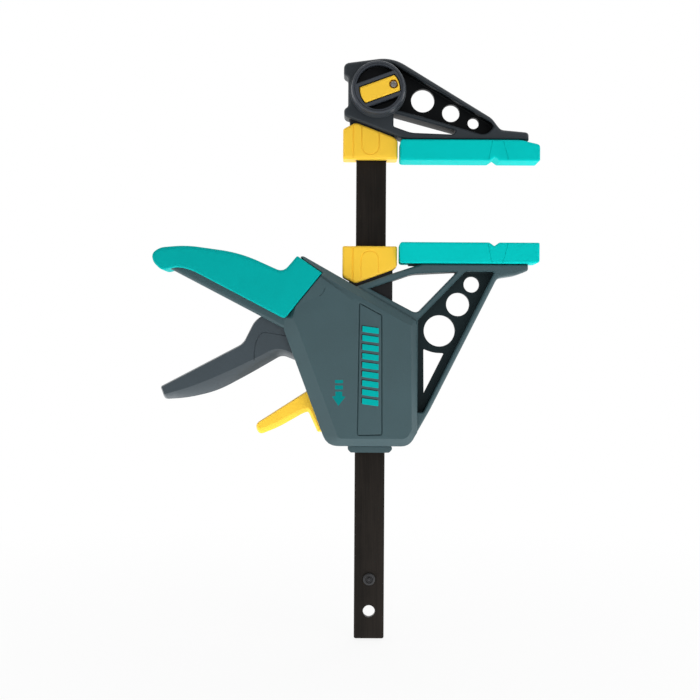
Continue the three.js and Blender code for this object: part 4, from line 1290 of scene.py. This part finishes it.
@dataclass
class FixedJaw:
    """The upper jaw: its moulding with a boss for the lock, its guard and its pad."""

    half: float = 11.0
    web_half: float = 3.0
    edge: float = 2.2
    pocket_edge: float = 0.9
    hole_edge: float = 0.5
    fillet: float = 1.1
    boss_radius: float = 18.7
    boss_front: float = -13.0
    boss_back: float = 10.96
    boss_edge: float = 0.8
    boss_rounding: tuple[tuple[float, float], ...] = ((1, 0), (0.3, 0.25), (0, 1))
    boss_x: float = 4.1
    boss_share: float = 0.612
    tunnel_gap: float = 0.25
    tunnel_top: float = 0.1
    guard_clearance: float = 1.0
    body: str = "bar_and_fixed_jaw"

    def face(self) -> Region:
        """Draws the front face with its pocket, web holes and slot.

        Returns:
            The face.
        """
        front, web = -self.half, -self.web_half
        holes = [
            through(
                Outline.circle(LAYOUT.fixed_x(x), LAYOUT.fixed_z(z), radius * LAYOUT.fixed_rise),
                web,
                self.hole_edge,
            )
            for x, z, radius in FIXED_HOLE_SHARES
        ]
        sunk = hollow_edge(front, web, self.pocket_edge, self.fillet)
        # The pocket, its holes and the slot are deep, so they get painted shade.
        pocket = Region(LAYOUT.fixed(FIXED_POCKET_SHARES), sunk, holes, deep=True)
        slot = through(LAYOUT.fixed(FIXED_SLOT_SHARES), front, self.pocket_edge)
        shape = LAYOUT.fixed(FIXED_JAW_SHARES, FIXED_JAW_SOFTNESS)
        return Region(shape, outer_edge(0, front, self.edge, self.edge), [pocket, slot])

    def boss(self) -> Piece:
        """Builds the round boss under the knob.

        Returns:
            The boss.
        """
        radius, edge = self.boss_radius, self.boss_edge
        front, back = self.boss_front, self.boss_back
        maker = MeshMaker("boss")
        rounded = [(radius - edge * inward, front + edge * down) for inward, down in self.boss_rounding]
        chamfer = [(radius, back - edge), (radius - edge, back)]
        maker.turned([(0, front), *rounded, *chamfer, (0, back)])
        return maker.done(Matrix.Translation(Vector((self.boss_x, 0, LAYOUT.fixed_z(self.boss_share))) * MM))

    def bore(self, piece: Piece, node: str, start: float) -> None:
        """Cuts room for a round piece of the lock.

        Args:
            piece: The moulding.
            node: The model node that needs the room.
            start: Where the room starts, along y; it ends in the tunnel.
        """
        radius = half_width(node) + LAYOUT.seat_gap
        axis = middle("lock_shaft")
        maker = MeshMaker("bore")
        maker.turned([(0, start), (radius, start), (radius, 0), (0, 0)])
        carve(piece, maker.done(Matrix.Translation(Vector((axis.x, 0, axis.z)) * MM)))

    def build(self) -> None:
        """Builds the moulding, its rail, its guard and its pad, and dresses them."""
        piece = both_sides("fixed_jaw_moulding", self.face())
        carve(piece, self.boss(), Cut.JOINED)
        low, high = span("fixed_jaw_sleeve")
        cut_shaft(piece, *LAYOUT.sleeve_socket(), low.z - FAR, high.z + LAYOUT.seat_gap)
        tunnel = LAYOUT.bar_tunnel(self.tunnel_gap)
        cut_shaft(piece, *tunnel, low.z - FAR, span("bar")[1].z + self.tunnel_top)
        self.bore(piece, "lock_shaft", -FAR)
        self.bore(piece, "lock_clip", span("lock_clip")[0].y - LAYOUT.seat_gap)
        keep(piece, Finish.JAW, self.body, "fixed_jaw")
        Rail("fixed_jaw_rail", self.body, LAYOUT.fixed_face, 1).build()
        slope = LAYOUT.fixed(FIXED_GUARD_LINE)
        softness = (1.0, 1.0, 1.0, 1.0, 1.9, 1.9)
        Guard("fixed_guard", "fixed_jaw_guard", self.body, 1, slope, self.guard_clearance, softness).build()
        Pad("fixed_pad", "fixed_jaw_pad", "fixed_pad", LAYOUT.fixed_face, 1).build()


# The lock's knob, and the screws of the knob and the cover


SCREW_DOME = ((0, 0), (0.7, 0), (0.9, 0.12), (1, 0.4), (1, 1))
CROSS_ARM = 0.62
CROSS_WIDTH = 0.16
CROSS_DEPTH = 0.6


def cross_screw(name: str, radius: float, head: float, shank: float, length: float) -> Piece:
    """Makes a pan-head screw with a cross recess; its face looks along -y and lies at y = 0.

    Args:
        name: The screw's name.
        radius: The radius of its head.
        head: The height of its head.
        shank: The radius of its shank.
        length: How long it is.

    Returns:
        The screw.
    """
    maker = MeshMaker(name)
    dome = [(radius * out, head * down) for out, down in SCREW_DOME]
    maker.turned([*dome, (shank, head), (shank, length), (0, length)], SMALL_SIDES)
    piece = maker.done()
    arm, width, depth = radius * CROSS_ARM, radius * CROSS_WIDTH, head * CROSS_DEPTH
    for across, up in ((arm, width), (width, arm)):
        cut_box(piece, (-across, -1, -up), (across, depth, up))
    return piece


@dataclass
class Knob:
    """The round knob with its yellow insert and its screw."""

    radius: float = 18.0
    front_radius: float = 17.4
    rim_wall: float = 2.9
    rim_edge: float = 1.2
    taper_gap: float = 0.1
    hollow_steps: int = 36
    insert_steps: int = 24
    well_sides: int = 48
    back: float = -13.3
    front: float = -23.0
    floor: float = -15.5
    mouth_edge: float = 0.5
    floor_fillet: float = 0.8
    rib: float = 2.4
    gap: float = 0.6
    bed_edge: float = 0.3
    groove_radius: float = 16.1
    groove_width: float = 0.7
    under: tuple[tuple[float, float], ...] = ((0.0, 0.6), (0.3, 0.1), (0.8, 0.0))
    insert_half: float = 5.4
    insert_radius: float = 13.1
    insert_front: float = -22.9
    insert_back: float = -18.0
    insert_edge: tuple[float, float] = (0.9, 0.7)
    insert_back_edge: float = 0.2
    insert_shift: tuple[float, float] = (0.5, -1.5)
    well_edge: float = 0.25
    well_depth: float = 2.4
    screw_offset: float = 9.6
    screw_radius: float = 2.35
    screw_head: float = 1.5
    screw_shank: float = 1.0
    screw_gap: float = 0.7
    screw_front: float = -22.2
    tilt: float = 20.0
    body: str = "lock"

    def placed(self, outline: Outline) -> Outline:
        """Turns and moves an outline drawn about the origin onto the knob."""
        centre = middle("lock_shaft")
        return outline.turned(self.tilt).moved(centre.x, centre.z)

    def segment(self, sign: int) -> Outline:
        """Draws the outline of a hollow beside the insert.

        Args:
            sign: 1 above the insert, -1 below it.

        Returns:
            The outline.
        """
        edge = self.insert_half + self.gap + self.rib + sign * self.insert_shift[1]
        radius = self.front_radius - self.rim_wall
        reach = math.degrees(math.acos(edge / radius))
        bend = arc(0, 0, radius, sign * 90 + reach, sign * 90 - reach, self.hollow_steps)
        return self.placed(Outline.of(bend))

    def lozenge(self, gap: float) -> Outline:
        """Draws the insert's outline, a round with two flats.

        Args:
            gap: How far it stands out from the insert.

        Returns:
            The outline.
        """
        radius, half = self.insert_radius + gap, self.insert_half + gap
        reach = math.degrees(math.asin(half / radius))
        ends = [
            *arc(0, 0, radius, 180 + reach, 180 - reach, self.insert_steps),
            *arc(0, 0, radius, reach, -reach, self.insert_steps),
        ]
        return self.placed(Outline.of(ends).moved(*self.insert_shift))

    def cup(self) -> None:
        """Builds the cup with its two hollows and the insert's bed, and dresses it."""
        sunk = hollow_edge(self.front, self.floor, self.mouth_edge, self.floor_fillet)
        # The hollows and the insert's bed are deep, so they get painted shade.
        inner = [Region(self.segment(sign), sunk, deep=True) for sign in (1, -1)]
        bed = hollow_edge(self.front, self.insert_back + self.gap, self.bed_edge)
        inner.append(Region(self.lozenge(self.gap), bed, deep=True))
        centre = middle("lock_shaft")
        line = Outline.circle(centre.x, centre.z, self.groove_radius)
        line = groove(line, self.front, self.groove_width, self.groove_width, inner)
        taper, edge = self.radius - self.front_radius, self.rim_edge
        profile = [(0.0, self.back + self.under[0][1]), (taper, self.front + edge + self.taper_gap)]
        profile += [(taper + edge * a, self.front + edge * b) for a, b in Edge.ROUND.value]
        shape = Outline.circle(centre.x, centre.z, self.radius)
        under = Region(shape, [(inset, self.back + rise) for inset, rise in self.under])
        piece = moulding("knob_cup", Region(shape, profile, [line]), under)
        keep(piece, Finish.KNOB, self.body, "lock_knob")

    def insert(self) -> None:
        """Builds the yellow insert with a well for the screw, and dresses it."""
        spot = Outline.circle(self.screw_offset, 0, self.screw_radius + self.screw_gap, self.well_sides)
        spot = self.placed(spot.moved(*self.insert_shift))
        sunk = hollow_edge(self.insert_front, self.screw_front + self.well_depth, self.well_edge)
        seam = (self.insert_front + self.insert_back) / 2
        shape, edge = self.lozenge(0.0), self.insert_back_edge
        # The well is deep, so it gets painted shade round the screw.
        well = Region(spot, sunk, deep=True)
        front = Region(shape, outer_edge(seam, self.insert_front, *self.insert_edge), [well])
        back = Region(shape, outer_edge(seam, self.insert_back, edge, edge))
        keep(moulding("knob_insert", front, back), Finish.YELLOW, self.body, "lock_knob_insert")

    def screw(self) -> None:
        """Builds the screw, with a cross recess, and dresses it."""
        length = span("lock_knob_screw")[1].y - self.screw_front
        piece = cross_screw("knob_screw_head", self.screw_radius, self.screw_head, self.screw_shank, length)
        spot = Outline.of([(self.screw_offset, 0)]).moved(*self.insert_shift)
        x, z, _ = self.placed(spot).rows[0]
        piece.data.transform(Matrix.Translation(Vector((x, self.screw_front, z)) * MM))
        keep(piece, Finish.SCREW, self.body, "lock_knob_screw")

    def build(self) -> None:
        """Builds the knob's three pieces."""
        self.cup()
        self.insert()
        self.screw()


# The slider


CASE_SHARES = (
    (-1.246, -0.046, 0.029), (0.178, 0.313, 0.025), (0.188, 0.921), (0.128, 1, 0.05),
    (-1.108, 1, 0.062), (-1.333, 0.357, 0.008), (-1.33, 0.302),
)
CASE_SOFTNESS = (1.5, 1.2, 1.3, 1.6, 2.8, 2.8, 1.15)
PANEL_ROWS = ((-8.2, -39.4, 2.2), (8.1, -48.2, 1.2), (8.7, -128.4, 2.5), (-9.2, -128.8, 2.5))
ARROW_ROWS = (
    (-25.2, -102.4), (-23.0, -102.0), (-23.0, -99.1), (-18.4, -99.1), (-18.4, -102.0), (-16.3, -102.4),
    (-21.0, -108.6),
)
JAW_FRAME_SHARES = (
    (-0.831, 0.1254), (0, 0.053, 0.02), (0.217, 0), (1, 0), (1, 0.035, 0.012), (0.913, 0.059, 0.02),
    (0.772, 0.076, 0.025), (0.28, 0.8), (0.188, 0.921), (0.128, 0.921), (0.128, 0.378), (-0.831, 0.18),
)
JAW_FRAME_SOFTNESS = (1.0, 1.0, 0.8, 1.0, 1.0, 1.2, 1.3, 1.0, 1.0, 1.0, 1.0, 1.0)
SLIDER_GUARD_LINE = ((-0.831, 0.1254), (0, 0.053))
WINDOW_SHARES = ((-0.528, 0.138), (0.1425, 0.056, 0.03), (0.479, 0.042, 0.015), (0.178, 0.274, 0.032))
WEB_POCKET_SHARES = (
    (0.188, 0.309), (0.188, 0.815), (0.2316, 0.815, 0.01), (0.752, 0.043, 0.015), (0.538, 0.041, 0.01),
)
WEB_WINDOW_SHARES = (
    (0.234, 0.467, 0.006), (0.306, 0.487, 0.03), (0.387, 0.49, 0.008), (0.237, 0.713, 0.004),
)
WEB_HOLE_SHARES = ((0.352, 0.366, 0.0862), (0.488, 0.22, 0.0644), (0.589, 0.11, 0.0437))
CHAMBER_SHARES = (
    (-1.106, 0.038), (0.182, 0.3135), (0.188, 0.921), (0.128, 1, 0.05), (-1.108, 1, 0.062), (-1.333, 0.353),
)
CORE_SHARES = (
    (-1.94, -0.051, 0.03), (-1.82, -0.066, 0.09), (-1.558, -0.028, 0.09), (-1.337, 0.077, 0.035),
    (-1.254, -0.006, 0.01), (-1.104, 0.097), (-1.104, 0.361), (-1.333, 0.357, 0.008),
    (-1.901, 0.041, 0.015), (-1.942, 0.019, 0.02),
)
GRIP_SHARES = (
    (-2.003, -0.047, 0.03), (-1.96, -0.081, 0.03), (-1.827, -0.094, 0.12), (-1.551, -0.054, 0.11),
    (-1.334, 0.05, 0.04), (-1.263, -0.04, 0.012), (-1.133, 0.056, 0.007), (-1.324, 0.31, 0.025),
    (-1.8, 0.045, 0.045), (-1.87, 0.028, 0.03), (-1.95, 0.05, 0.025), (-1.996, 0.002, 0.03),
)
GRIP_SOFTNESS = (1.0, 1.0, 1.0, 1.0, 0.8, 0.5, 0.5, 0.45, 0.45, 0.45, 0.5, 0.8)
TRIGGER_SHARES = (
    (-1.966, 0.681, 0.012), (-1.542, 0.441, 0.03), (-1.482, 0.312, 0.035), (-1.412, 0.269, 0.02),
    (-1.122, 0.303), (-1.096, 0.411), (-1.166, 0.489, 0.02), (-1.266, 0.536, 0.02), (-1.341, 0.504, 0.03),
    (-1.505, 0.607, 0.07), (-1.674, 0.705, 0.08), (-1.828, 0.743, 0.07), (-1.942, 0.751, 0.02),
)
TRIGGER_SOFTNESS = (0.5, 0.5, 0.5, 0.5, 0.5, 0.5, 1.6, 2.0, 3.2, 4.6, 4.8, 1.8, 0.8)
SEAM_PLACES = (
    (-53.0, 0.0, 201.4), (-58.1, 0.0, 202.4), (-69.5, 0.0, 204.2), (-72.05, 0.0, 203.9),
    (-74.0, 0.0, 202.2), (-76.0, 0.0, 197.5), (-77.0, 0.0, 192.3), (-77.2, 0.2, 186.0),
    (-77.2, 1.4, 182.0), (-77.2, 3.6, 179.5), (-77.2, 6.5, 177.5),
)
RELEASE_SHARES = (
    (-1.2, 0.692), (-1.478, 0.885, 0.03), (-1.457, 0.944, 0.03), (-1.36, 0.903, 0.05),
    (-1.23, 0.823, 0.02), (-1.204, 0.814, 0.012), (-1.156, 0.927, 0.008), (-1.112, 0.927),
    (-1.072, 0.862), (-1.072, 0.79), (-1.127, 0.741),
)
RELEASE_SOFTNESS = (0.6, 1.0, 3.0, 3.0, 2.4, 1.6, 1.0, 1.0, 0.6, 0.6, 0.6)


@dataclass
class Slider:
    """The sliding jaw with its case, handle, cover, guard and pad."""

    case_front: float = -17.0
    case_bevel: tuple[float, float] = (3.3, 4.2)
    case_back_edge: float = 0.6
    panel_groove: tuple[float, float] = (1.3, 1.0)
    curl: tuple[float, float, float] = (-36.8, -30.3, 6.5)
    curl_turn: tuple[float, float] = (-62, -4)
    curl_groove: float = 0.4
    jaw_half: float = 11.0
    web_half: float = 3.0
    jaw_edge: float = 1.8
    pocket_edge: float = 0.9
    hole_edge: float = 0.4
    fillet: float = 1.0
    room_wall: float = 1.0
    room_half: float = 14.0
    room_edge: float = 0.1
    socket_top: float = 20.0
    core_half: float = 13.0
    core_edge: float = 2.2
    grip_half: float = 17.2
    grip_gap: float = 0.28
    grip_edge: tuple[float, float] = (2.6, 1.8)
    cover_edge: float = 0.35
    screw_count: int = 5
    screw_sink: float = 0.1
    screw_head: float = 2.0
    shank_share: float = 0.5
    slack: float = 0.02
    mark_root: float = 0.3
    mark_edge: float = 0.05
    mark_slope: float = 1.2
    bar_count: int = 9
    bar_half: float = 5.4
    bar_top: float = -55.8
    bar_pitch: float = 5.95
    bar_height: float = 3.9
    bar_slant: float = 1.4
    bar_corner: float = 0.5
    shade_shift: float = 0.6
    shade_height: float = 0.04
    bar_rise: float = 0.1
    arrow_rise: float = 0.06
    tail_sides: tuple[float, float] = (-23.3, -18.0)
    tails: tuple[tuple[float, float], ...] = ((-93.6, -91.5), (-97.7, -95.1))
    guard_clearance: float = 2.2
    pad_tip_drop: float = 0.4
    body: str = "slider"

    def case(self) -> None:
        """Builds the case, hollow like the model's, and dresses it."""
        shape = LAYOUT.slider(CASE_SHARES, CASE_SOFTNESS).shrunk(self.slack)
        flat = self.case_front + self.slack
        panel = groove(Outline.of(PANEL_ROWS).moved(0, LAYOUT.slider_face), flat, *self.panel_groove)
        front = Region(shape, outer_edge(0, flat, *self.case_bevel, Edge.BEVEL), [panel])
        edge = self.case_back_edge
        back = Region(Outline(shape.rows), outer_edge(0, -flat, edge, edge))
        piece = moulding("slider_case", front, back)
        carve(piece, copy_of("slider_frame"), Cut.COMMON)
        x, z, radius = self.curl
        line = arc(x, LAYOUT.slider_face + z, radius, *self.curl_turn)
        engrave(piece, [(x, flat, z) for x, z in line], self.curl_groove, back=False)
        keep(piece, Finish.CASE, self.body, "slider_frame")

    def mark(self, name: str, outline: Outline, finish: Finish, height: float) -> None:
        """Lays a thin moulded mark on the case's front.

        Args:
            name: The mark's name.
            outline: Its outline, with heights over the working face.
            finish: Its finish.
            height: How far it stands out.
        """
        root, top = self.case_front + self.mark_root, self.case_front - height
        edge = self.mark_edge
        shape = outline.moved(0, LAYOUT.slider_face)
        front = Region(shape, [(0.0, root), (0.0, top + edge), (edge * self.mark_slope, top)])
        back = Region(shape, [(0.0, root), (edge, root + edge)])
        keep(moulding(name, front, back), finish, self.body)

    def marks(self) -> None:
        """Lays plain slanted bars in the panel and the arrow that shows which way the jaw goes."""
        for number in range(self.bar_count):
            top = self.bar_top - number * self.bar_pitch
            low, half, slant = top - self.bar_height, self.bar_half, self.bar_slant
            rows = [(-half, low), (-half, top), (half, top - slant), (half, low - slant)]
            bar = Outline.of((x, z, self.bar_corner) for x, z in rows)
            shade = bar.moved(-self.shade_shift, self.shade_shift)
            self.mark(f"panel_shade_{number + 1}", shade, Finish.BLACK, self.shade_height)
            self.mark(f"panel_bar_{number + 1}", bar, Finish.GRIP, self.bar_rise)
        for number, ends in enumerate(self.tails):
            tail = rectangle(*self.tail_sides, *ends)
            self.mark(f"arrow_tail_{number + 1}", tail, Finish.MARK, self.arrow_rise)
        self.mark("arrow_head", Outline.of(ARROW_ROWS), Finish.MARK, self.arrow_rise)

    def jaw(self) -> None:
        """Builds the jaw's frame with its web, window and holes, and dresses it."""
        front, web = -self.jaw_half, -self.web_half
        openings = [LAYOUT.slider(WEB_WINDOW_SHARES)]
        openings += [
            Outline.circle(LAYOUT.fixed_x(x), LAYOUT.slider_z(z), radius * LAYOUT.slider_drop)
            for x, z, radius in WEB_HOLE_SHARES
        ]
        sunk = hollow_edge(front, web, self.pocket_edge, self.fillet)
        # The web's holes, the pocket and the window are deep, so they get painted shade.
        holes = [through(opening, web, self.hole_edge) for opening in openings]
        pocket = Region(LAYOUT.slider(WEB_POCKET_SHARES), sunk, holes, deep=True)
        window = through(LAYOUT.slider(WINDOW_SHARES), front, self.pocket_edge)
        shape = LAYOUT.slider(JAW_FRAME_SHARES, JAW_FRAME_SOFTNESS)
        face = Region(shape, outer_edge(0, front, self.jaw_edge, self.jaw_edge), [pocket, window])
        piece = both_sides("slider_jaw", face)
        room = LAYOUT.slider(CHAMBER_SHARES).inset(self.room_wall)
        carve(piece, slab("room", room, -self.room_half, self.room_edge, self.room_edge))
        low, high = span("slider_sleeve")
        cut_shaft(piece, *LAYOUT.sleeve_socket(), low.z - LAYOUT.seat_gap, high.z + self.socket_top)
        keep(piece, Finish.CASE, self.body, "slider_frame")

    def core(self) -> None:
        """Builds the handle's core and dresses it."""
        flat = -self.core_half + self.slack
        shape = LAYOUT.slider(CORE_SHARES).shrunk(self.slack)
        piece = slab("handle_core", shape, flat, self.core_edge, self.core_edge)
        carve(piece, copy_of("slider_frame"), Cut.COMMON)
        keep(piece, Finish.CASE, self.body, "slider_frame")

    def grip(self) -> None:
        """Builds the crowned soft grip and dresses it."""
        shape = LAYOUT.slider(GRIP_SHARES, GRIP_SOFTNESS).shrunk(self.grip_gap)
        piece = slab("soft_grip", shape, -self.grip_half + self.slack, *self.grip_edge)
        keep(piece, Finish.GRIP, self.body, "handle_grip")

    def cover(self) -> None:
        """Builds the cover at the back and dresses it."""
        piece = copy_of("mechanism_cover")
        piece.name = "back_cover"
        bevel = piece.modifiers.new("edges", "BEVEL")
        bevel.width = self.cover_edge * MM
        bevel.segments = 2
        bevel.limit_method = "ANGLE"
        keep(piece, Finish.CASE, self.body, "mechanism_cover")

    def screws(self) -> None:
        """Builds the screws that hold the cover and dresses them."""
        for number in range(self.screw_count):
            node = f"cover_screw_{number + 1}"
            low, high = span(node)
            radius = half_width(node)
            shank, length = radius * self.shank_share, high.y - low.y
            piece = cross_screw(f"{node}_turned", radius, self.screw_head, shank, length)
            place = middle(node)
            place.y = high.y - self.screw_sink
            piece.data.transform(Matrix.Translation(place * MM) @ Matrix.Rotation(math.pi, 4, "Z"))
            keep(piece, Finish.SCREW, self.body, node)

    def build(self) -> None:
        """Builds and dresses the slider's pieces, with its rail, its guard and its pad."""
        self.case()
        self.marks()
        self.jaw()
        self.core()
        self.grip()
        self.cover()
        self.screws()
        Rail("slider_rail", self.body, LAYOUT.slider_face, -1).build()
        slope = LAYOUT.slider(SLIDER_GUARD_LINE)
        softness = (1.0, 1.0, 1.0, 1.9, 1.9, 1.0)
        Guard("sliding_guard", "slider_guard", self.body, -1, slope, self.guard_clearance, softness).build()
        pad = Pad("sliding_pad", "slider_pad", "sliding_pad", LAYOUT.slider_face, -1)
        pad.tip_drop = self.pad_tip_drop
        pad.build()


# The levers, the springs and what the case and the jaw hide


@dataclass
class Levers:
    """The trigger and the release lever."""

    trigger_half: float = 8.5
    trigger_edge: tuple[float, float] = (1.9, 7.0)
    release_half: float = 6.0
    release_edge: tuple[float, float] = (1.2, 2.6)
    crease_degrees: float = 17.0
    seam_radius: float = 0.4
    slack: float = 0.02

    def lever(self, name: str, shape: Outline, half: float, edge: tuple[float, float]) -> Piece:
        """Builds a lever of half a width, with a broad crowned edge for the fingers."""
        return slab(name, shape.shrunk(self.slack), self.slack - half, *edge, Edge.CROWN)

    def build(self) -> None:
        """Builds the trigger, with the seam of its hub, and the release lever, and dresses them."""
        shape = LAYOUT.slider(TRIGGER_SHARES, TRIGGER_SOFTNESS)
        trigger = self.lever("trigger", shape, self.trigger_half, self.trigger_edge)
        engrave(trigger, [(x, drop - self.trigger_half, z) for x, drop, z in SEAM_PLACES], self.seam_radius)
        keep(trigger, Finish.TRIGGER, "trigger", "trigger_lever", sharp_degrees=self.crease_degrees)
        shape = LAYOUT.slider(RELEASE_SHARES, RELEASE_SOFTNESS)
        release = self.lever("release", shape, self.release_half, self.release_edge)
        keep(release, Finish.YELLOW, "release", "release_lever", sharp_degrees=self.crease_degrees)


@dataclass
class Spring:
    """A coil spring in the case."""

    node: str
    joint: str
    travel: float
    wire: float
    curls: float
    dead_curls: float = 0.9
    dead_pitch: float = 2.1
    turn_steps: int = 28
    sides: int = 12

    def path(self) -> list[Vector]:
        """Draws the wire's centre line, with a flat curl at each end.

        Returns:
            Its points.
        """
        low, high = span(self.node)
        centre = middle(self.node)
        radius = half_width(self.node) - self.wire
        bottom, top = low.z + self.wire, high.z - self.wire
        closed = self.dead_curls * self.dead_pitch * self.wire
        steps = round(self.curls * self.turn_steps)
        points = []
        for step in range(steps + 1):
            curl = self.curls * step / steps
            active = (curl - self.dead_curls) / (self.curls - 2 * self.dead_curls)
            rise = min(max(active, 0.0), 1.0) * (top - bottom - 2 * closed)
            ends = min(curl, self.dead_curls) + max(curl - self.curls + self.dead_curls, 0.0)
            x = centre.x + radius * math.cos(2 * math.pi * curl)
            y = centre.y + radius * math.sin(2 * math.pi * curl)
            points.append(Vector((x, y, bottom + rise + ends / self.dead_curls * closed)))
        return points

    def build(self) -> None:
        """Builds the spring and dresses it."""
        maker = MeshMaker(f"{self.node}_coil")
        maker.tube(self.path(), self.wire, Vector((0, 0, 1)), self.sides)
        piece = keep(maker.done(), Finish.BRIGHT, "slider", self.node)
        low, high = span(self.node)
        anchor = middle(self.node)
        anchor.z = low.z
        anchor *= MM
        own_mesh(piece)


class Inside(Enum):
    """Model nodes that keep their own meshes, with their finishes."""

    SLEEVES = (Finish.BLACK, ("fixed_jaw_sleeve", "slider_sleeve"))
    GUIDE = (Finish.CASE, ("lower_bar_guide",))
    STEEL = (
        Finish.BRIGHT,
        (
            "lock_shaft", "lock_clip", "trigger_pin", "drive_plate_1", "drive_plate_2",
            "brake_plate", "brake_fulcrum_pin", "release_pin",
        ),
    )

    def dress(self) -> None:
        """Gives the group's nodes their finish."""
        finish, names = self.value
        for name in names:
            finish.on(frame["nodes"][name])
        log.info("%s: %d nodes dressed", self.name.lower(), len(names))


# The studio


WHITE = (1, 1, 1)
ON_CLAMP = (-0.02, 0.0, 0.2)


@dataclass(frozen=True)
class Lamp:
    """A square area lamp, unseen itself. Its place, aim and size are in metres."""

    name: str
    place: tuple[float, float, float]
    size: float
    power: float
    aim: tuple[float, float, float] = ON_CLAMP

    def hang(self) -> None:
        """Adds the lamp to the scene."""
        data = bpy.data.lights.new(self.name, "AREA")
        data.shape = "SQUARE"
        data.size = self.size
        data.energy = self.power
        holder = linked(self.name, data)
        turn = (Vector(self.place) - Vector(self.aim)).to_track_quat("Z", "Y").to_matrix().to_4x4()
        holder.matrix_world = Matrix.Translation(self.place) @ turn
        holder.visible_camera = False


LAMPS = (
    Lamp("table", (0.0, 0.0, -0.0008), 1.2, 5.4, (0.0, 0.0001, 1.0)),
    Lamp("key", (0.7, -1.2, 0.9), 0.8, 3.0),
    Lamp("top", (0.0, 0.05, 1.3), 1.6, 9.0),
    Lamp("right", (1.2, -0.1, 0.25), 1.2, 7.2),
    Lamp("left", (-1.2, -0.1, 0.25), 1.2, 5.4),
    Lamp("back", (0.3, 1.4, 1.0), 1.2, 6.5),
)


@dataclass
class Studio:
    """The camera, lamps, backdrop and world."""

    camera_place: tuple[float, float, float] = (-13.53, -1000.0, 192.7)
    lens: float = 76.76
    sensor: float = 36.0
    roll: float = -0.323
    sight: float = 20.0
    floor_half: float = 3000.0
    floor_heights: tuple[float, float] = (-3.0, -1.0)
    floor_tone: float = 0.9
    floor_gloss: float = 0.1
    fade_range: tuple[float, float] = (0.1, 0.7)
    fade: float = 0.12
    ambient: float = 0.23

    def camera(self) -> None:
        """Sets up the camera square to the clamp, turned slightly about its own axis."""
        data = bpy.data.cameras.new("camera")
        data.lens = self.lens
        data.sensor_width = self.sensor
        data.clip_end = self.sight
        holder = linked("camera", data)
        turn = Matrix.Rotation(math.radians(self.roll), 4, "Y") @ Matrix.Rotation(math.pi / 2, 4, "X")
        holder.matrix_world = Matrix.Translation(Vector(self.camera_place) * MM) @ turn
        bpy.context.scene.camera = holder

    def floor(self) -> None:
        """Lays a pale floor under the clamp."""
        maker = MeshMaker("floor")
        half = self.floor_half
        low, high = self.floor_heights
        maker.box((-half, -half, low), (half, half, high))
        piece = maker.done()
        paint = Paint("pale_floor")
        paint.set(
            Base_Color=(self.floor_tone,) * 3, Roughness=self.floor_tone, Specular_IOR_Level=self.floor_gloss
        )
        reach = paint.add("ShaderNodeVectorMath", {"operation": "LENGTH"}, {0: paint.place()}, "Value")
        fade = reach.ramped(*self.fade_range) * self.fade + (1 - self.fade)
        glow = paint.add("ShaderNodeEmission", {}, {"Color": WHITE, "Strength": 1.0})
        inputs = {0: fade * paint.backdrop(), 1: paint.surface, 2: glow}
        paint.feed(paint.output.inputs["Surface"], paint.add("ShaderNodeMixShader", {}, inputs))
        piece.data.materials.clear()
        piece.data.materials.append(paint.material)

    def world(self) -> None:
        """Makes the background white to the camera and soft light to the rest."""
        world = bpy.data.worlds.new("studio")
        bpy.context.scene.world = world
        world.use_nodes = True
        wiring = Wiring(world.node_tree)
        soft, white = (
            wiring.add("ShaderNodeBackground", {}, {"Color": WHITE, "Strength": strength})
            for strength in (self.ambient, 1.0)
        )
        mixed = wiring.add("ShaderNodeMixShader", {}, {0: wiring.backdrop(), 1: soft, 2: white})
        wiring.make("ShaderNodeOutputWorld", {}, {"Surface": mixed})

    def build(self) -> None:
        """Sets up the whole studio."""
        bpy.context.scene.view_settings.view_transform = "Standard"
        self.camera()
        for lamp in LAMPS:
            lamp.hang()
        self.floor()
        self.world()
        log.info("studio with %d lamps", len(LAMPS))


def main() -> None:
    """Builds the clamp's pieces in order, then the studio."""
    logging.basicConfig(level=logging.INFO, format="%(name)s: %(message)s")
    BarAssembly().build()
    FixedJaw().build()
    Knob().build()
    Slider().build()
    Levers().build()
    Spring("drive_spring", "plates_push", travel=5.8, wire=0.8, curls=6.0).build()
    Spring("brake_spring", "brake_tilt", travel=2.7, wire=0.5, curls=5.0).build()
    for group in Inside:
        group.dress()
    Studio().build()


if __name__ == "__main__":
    main()
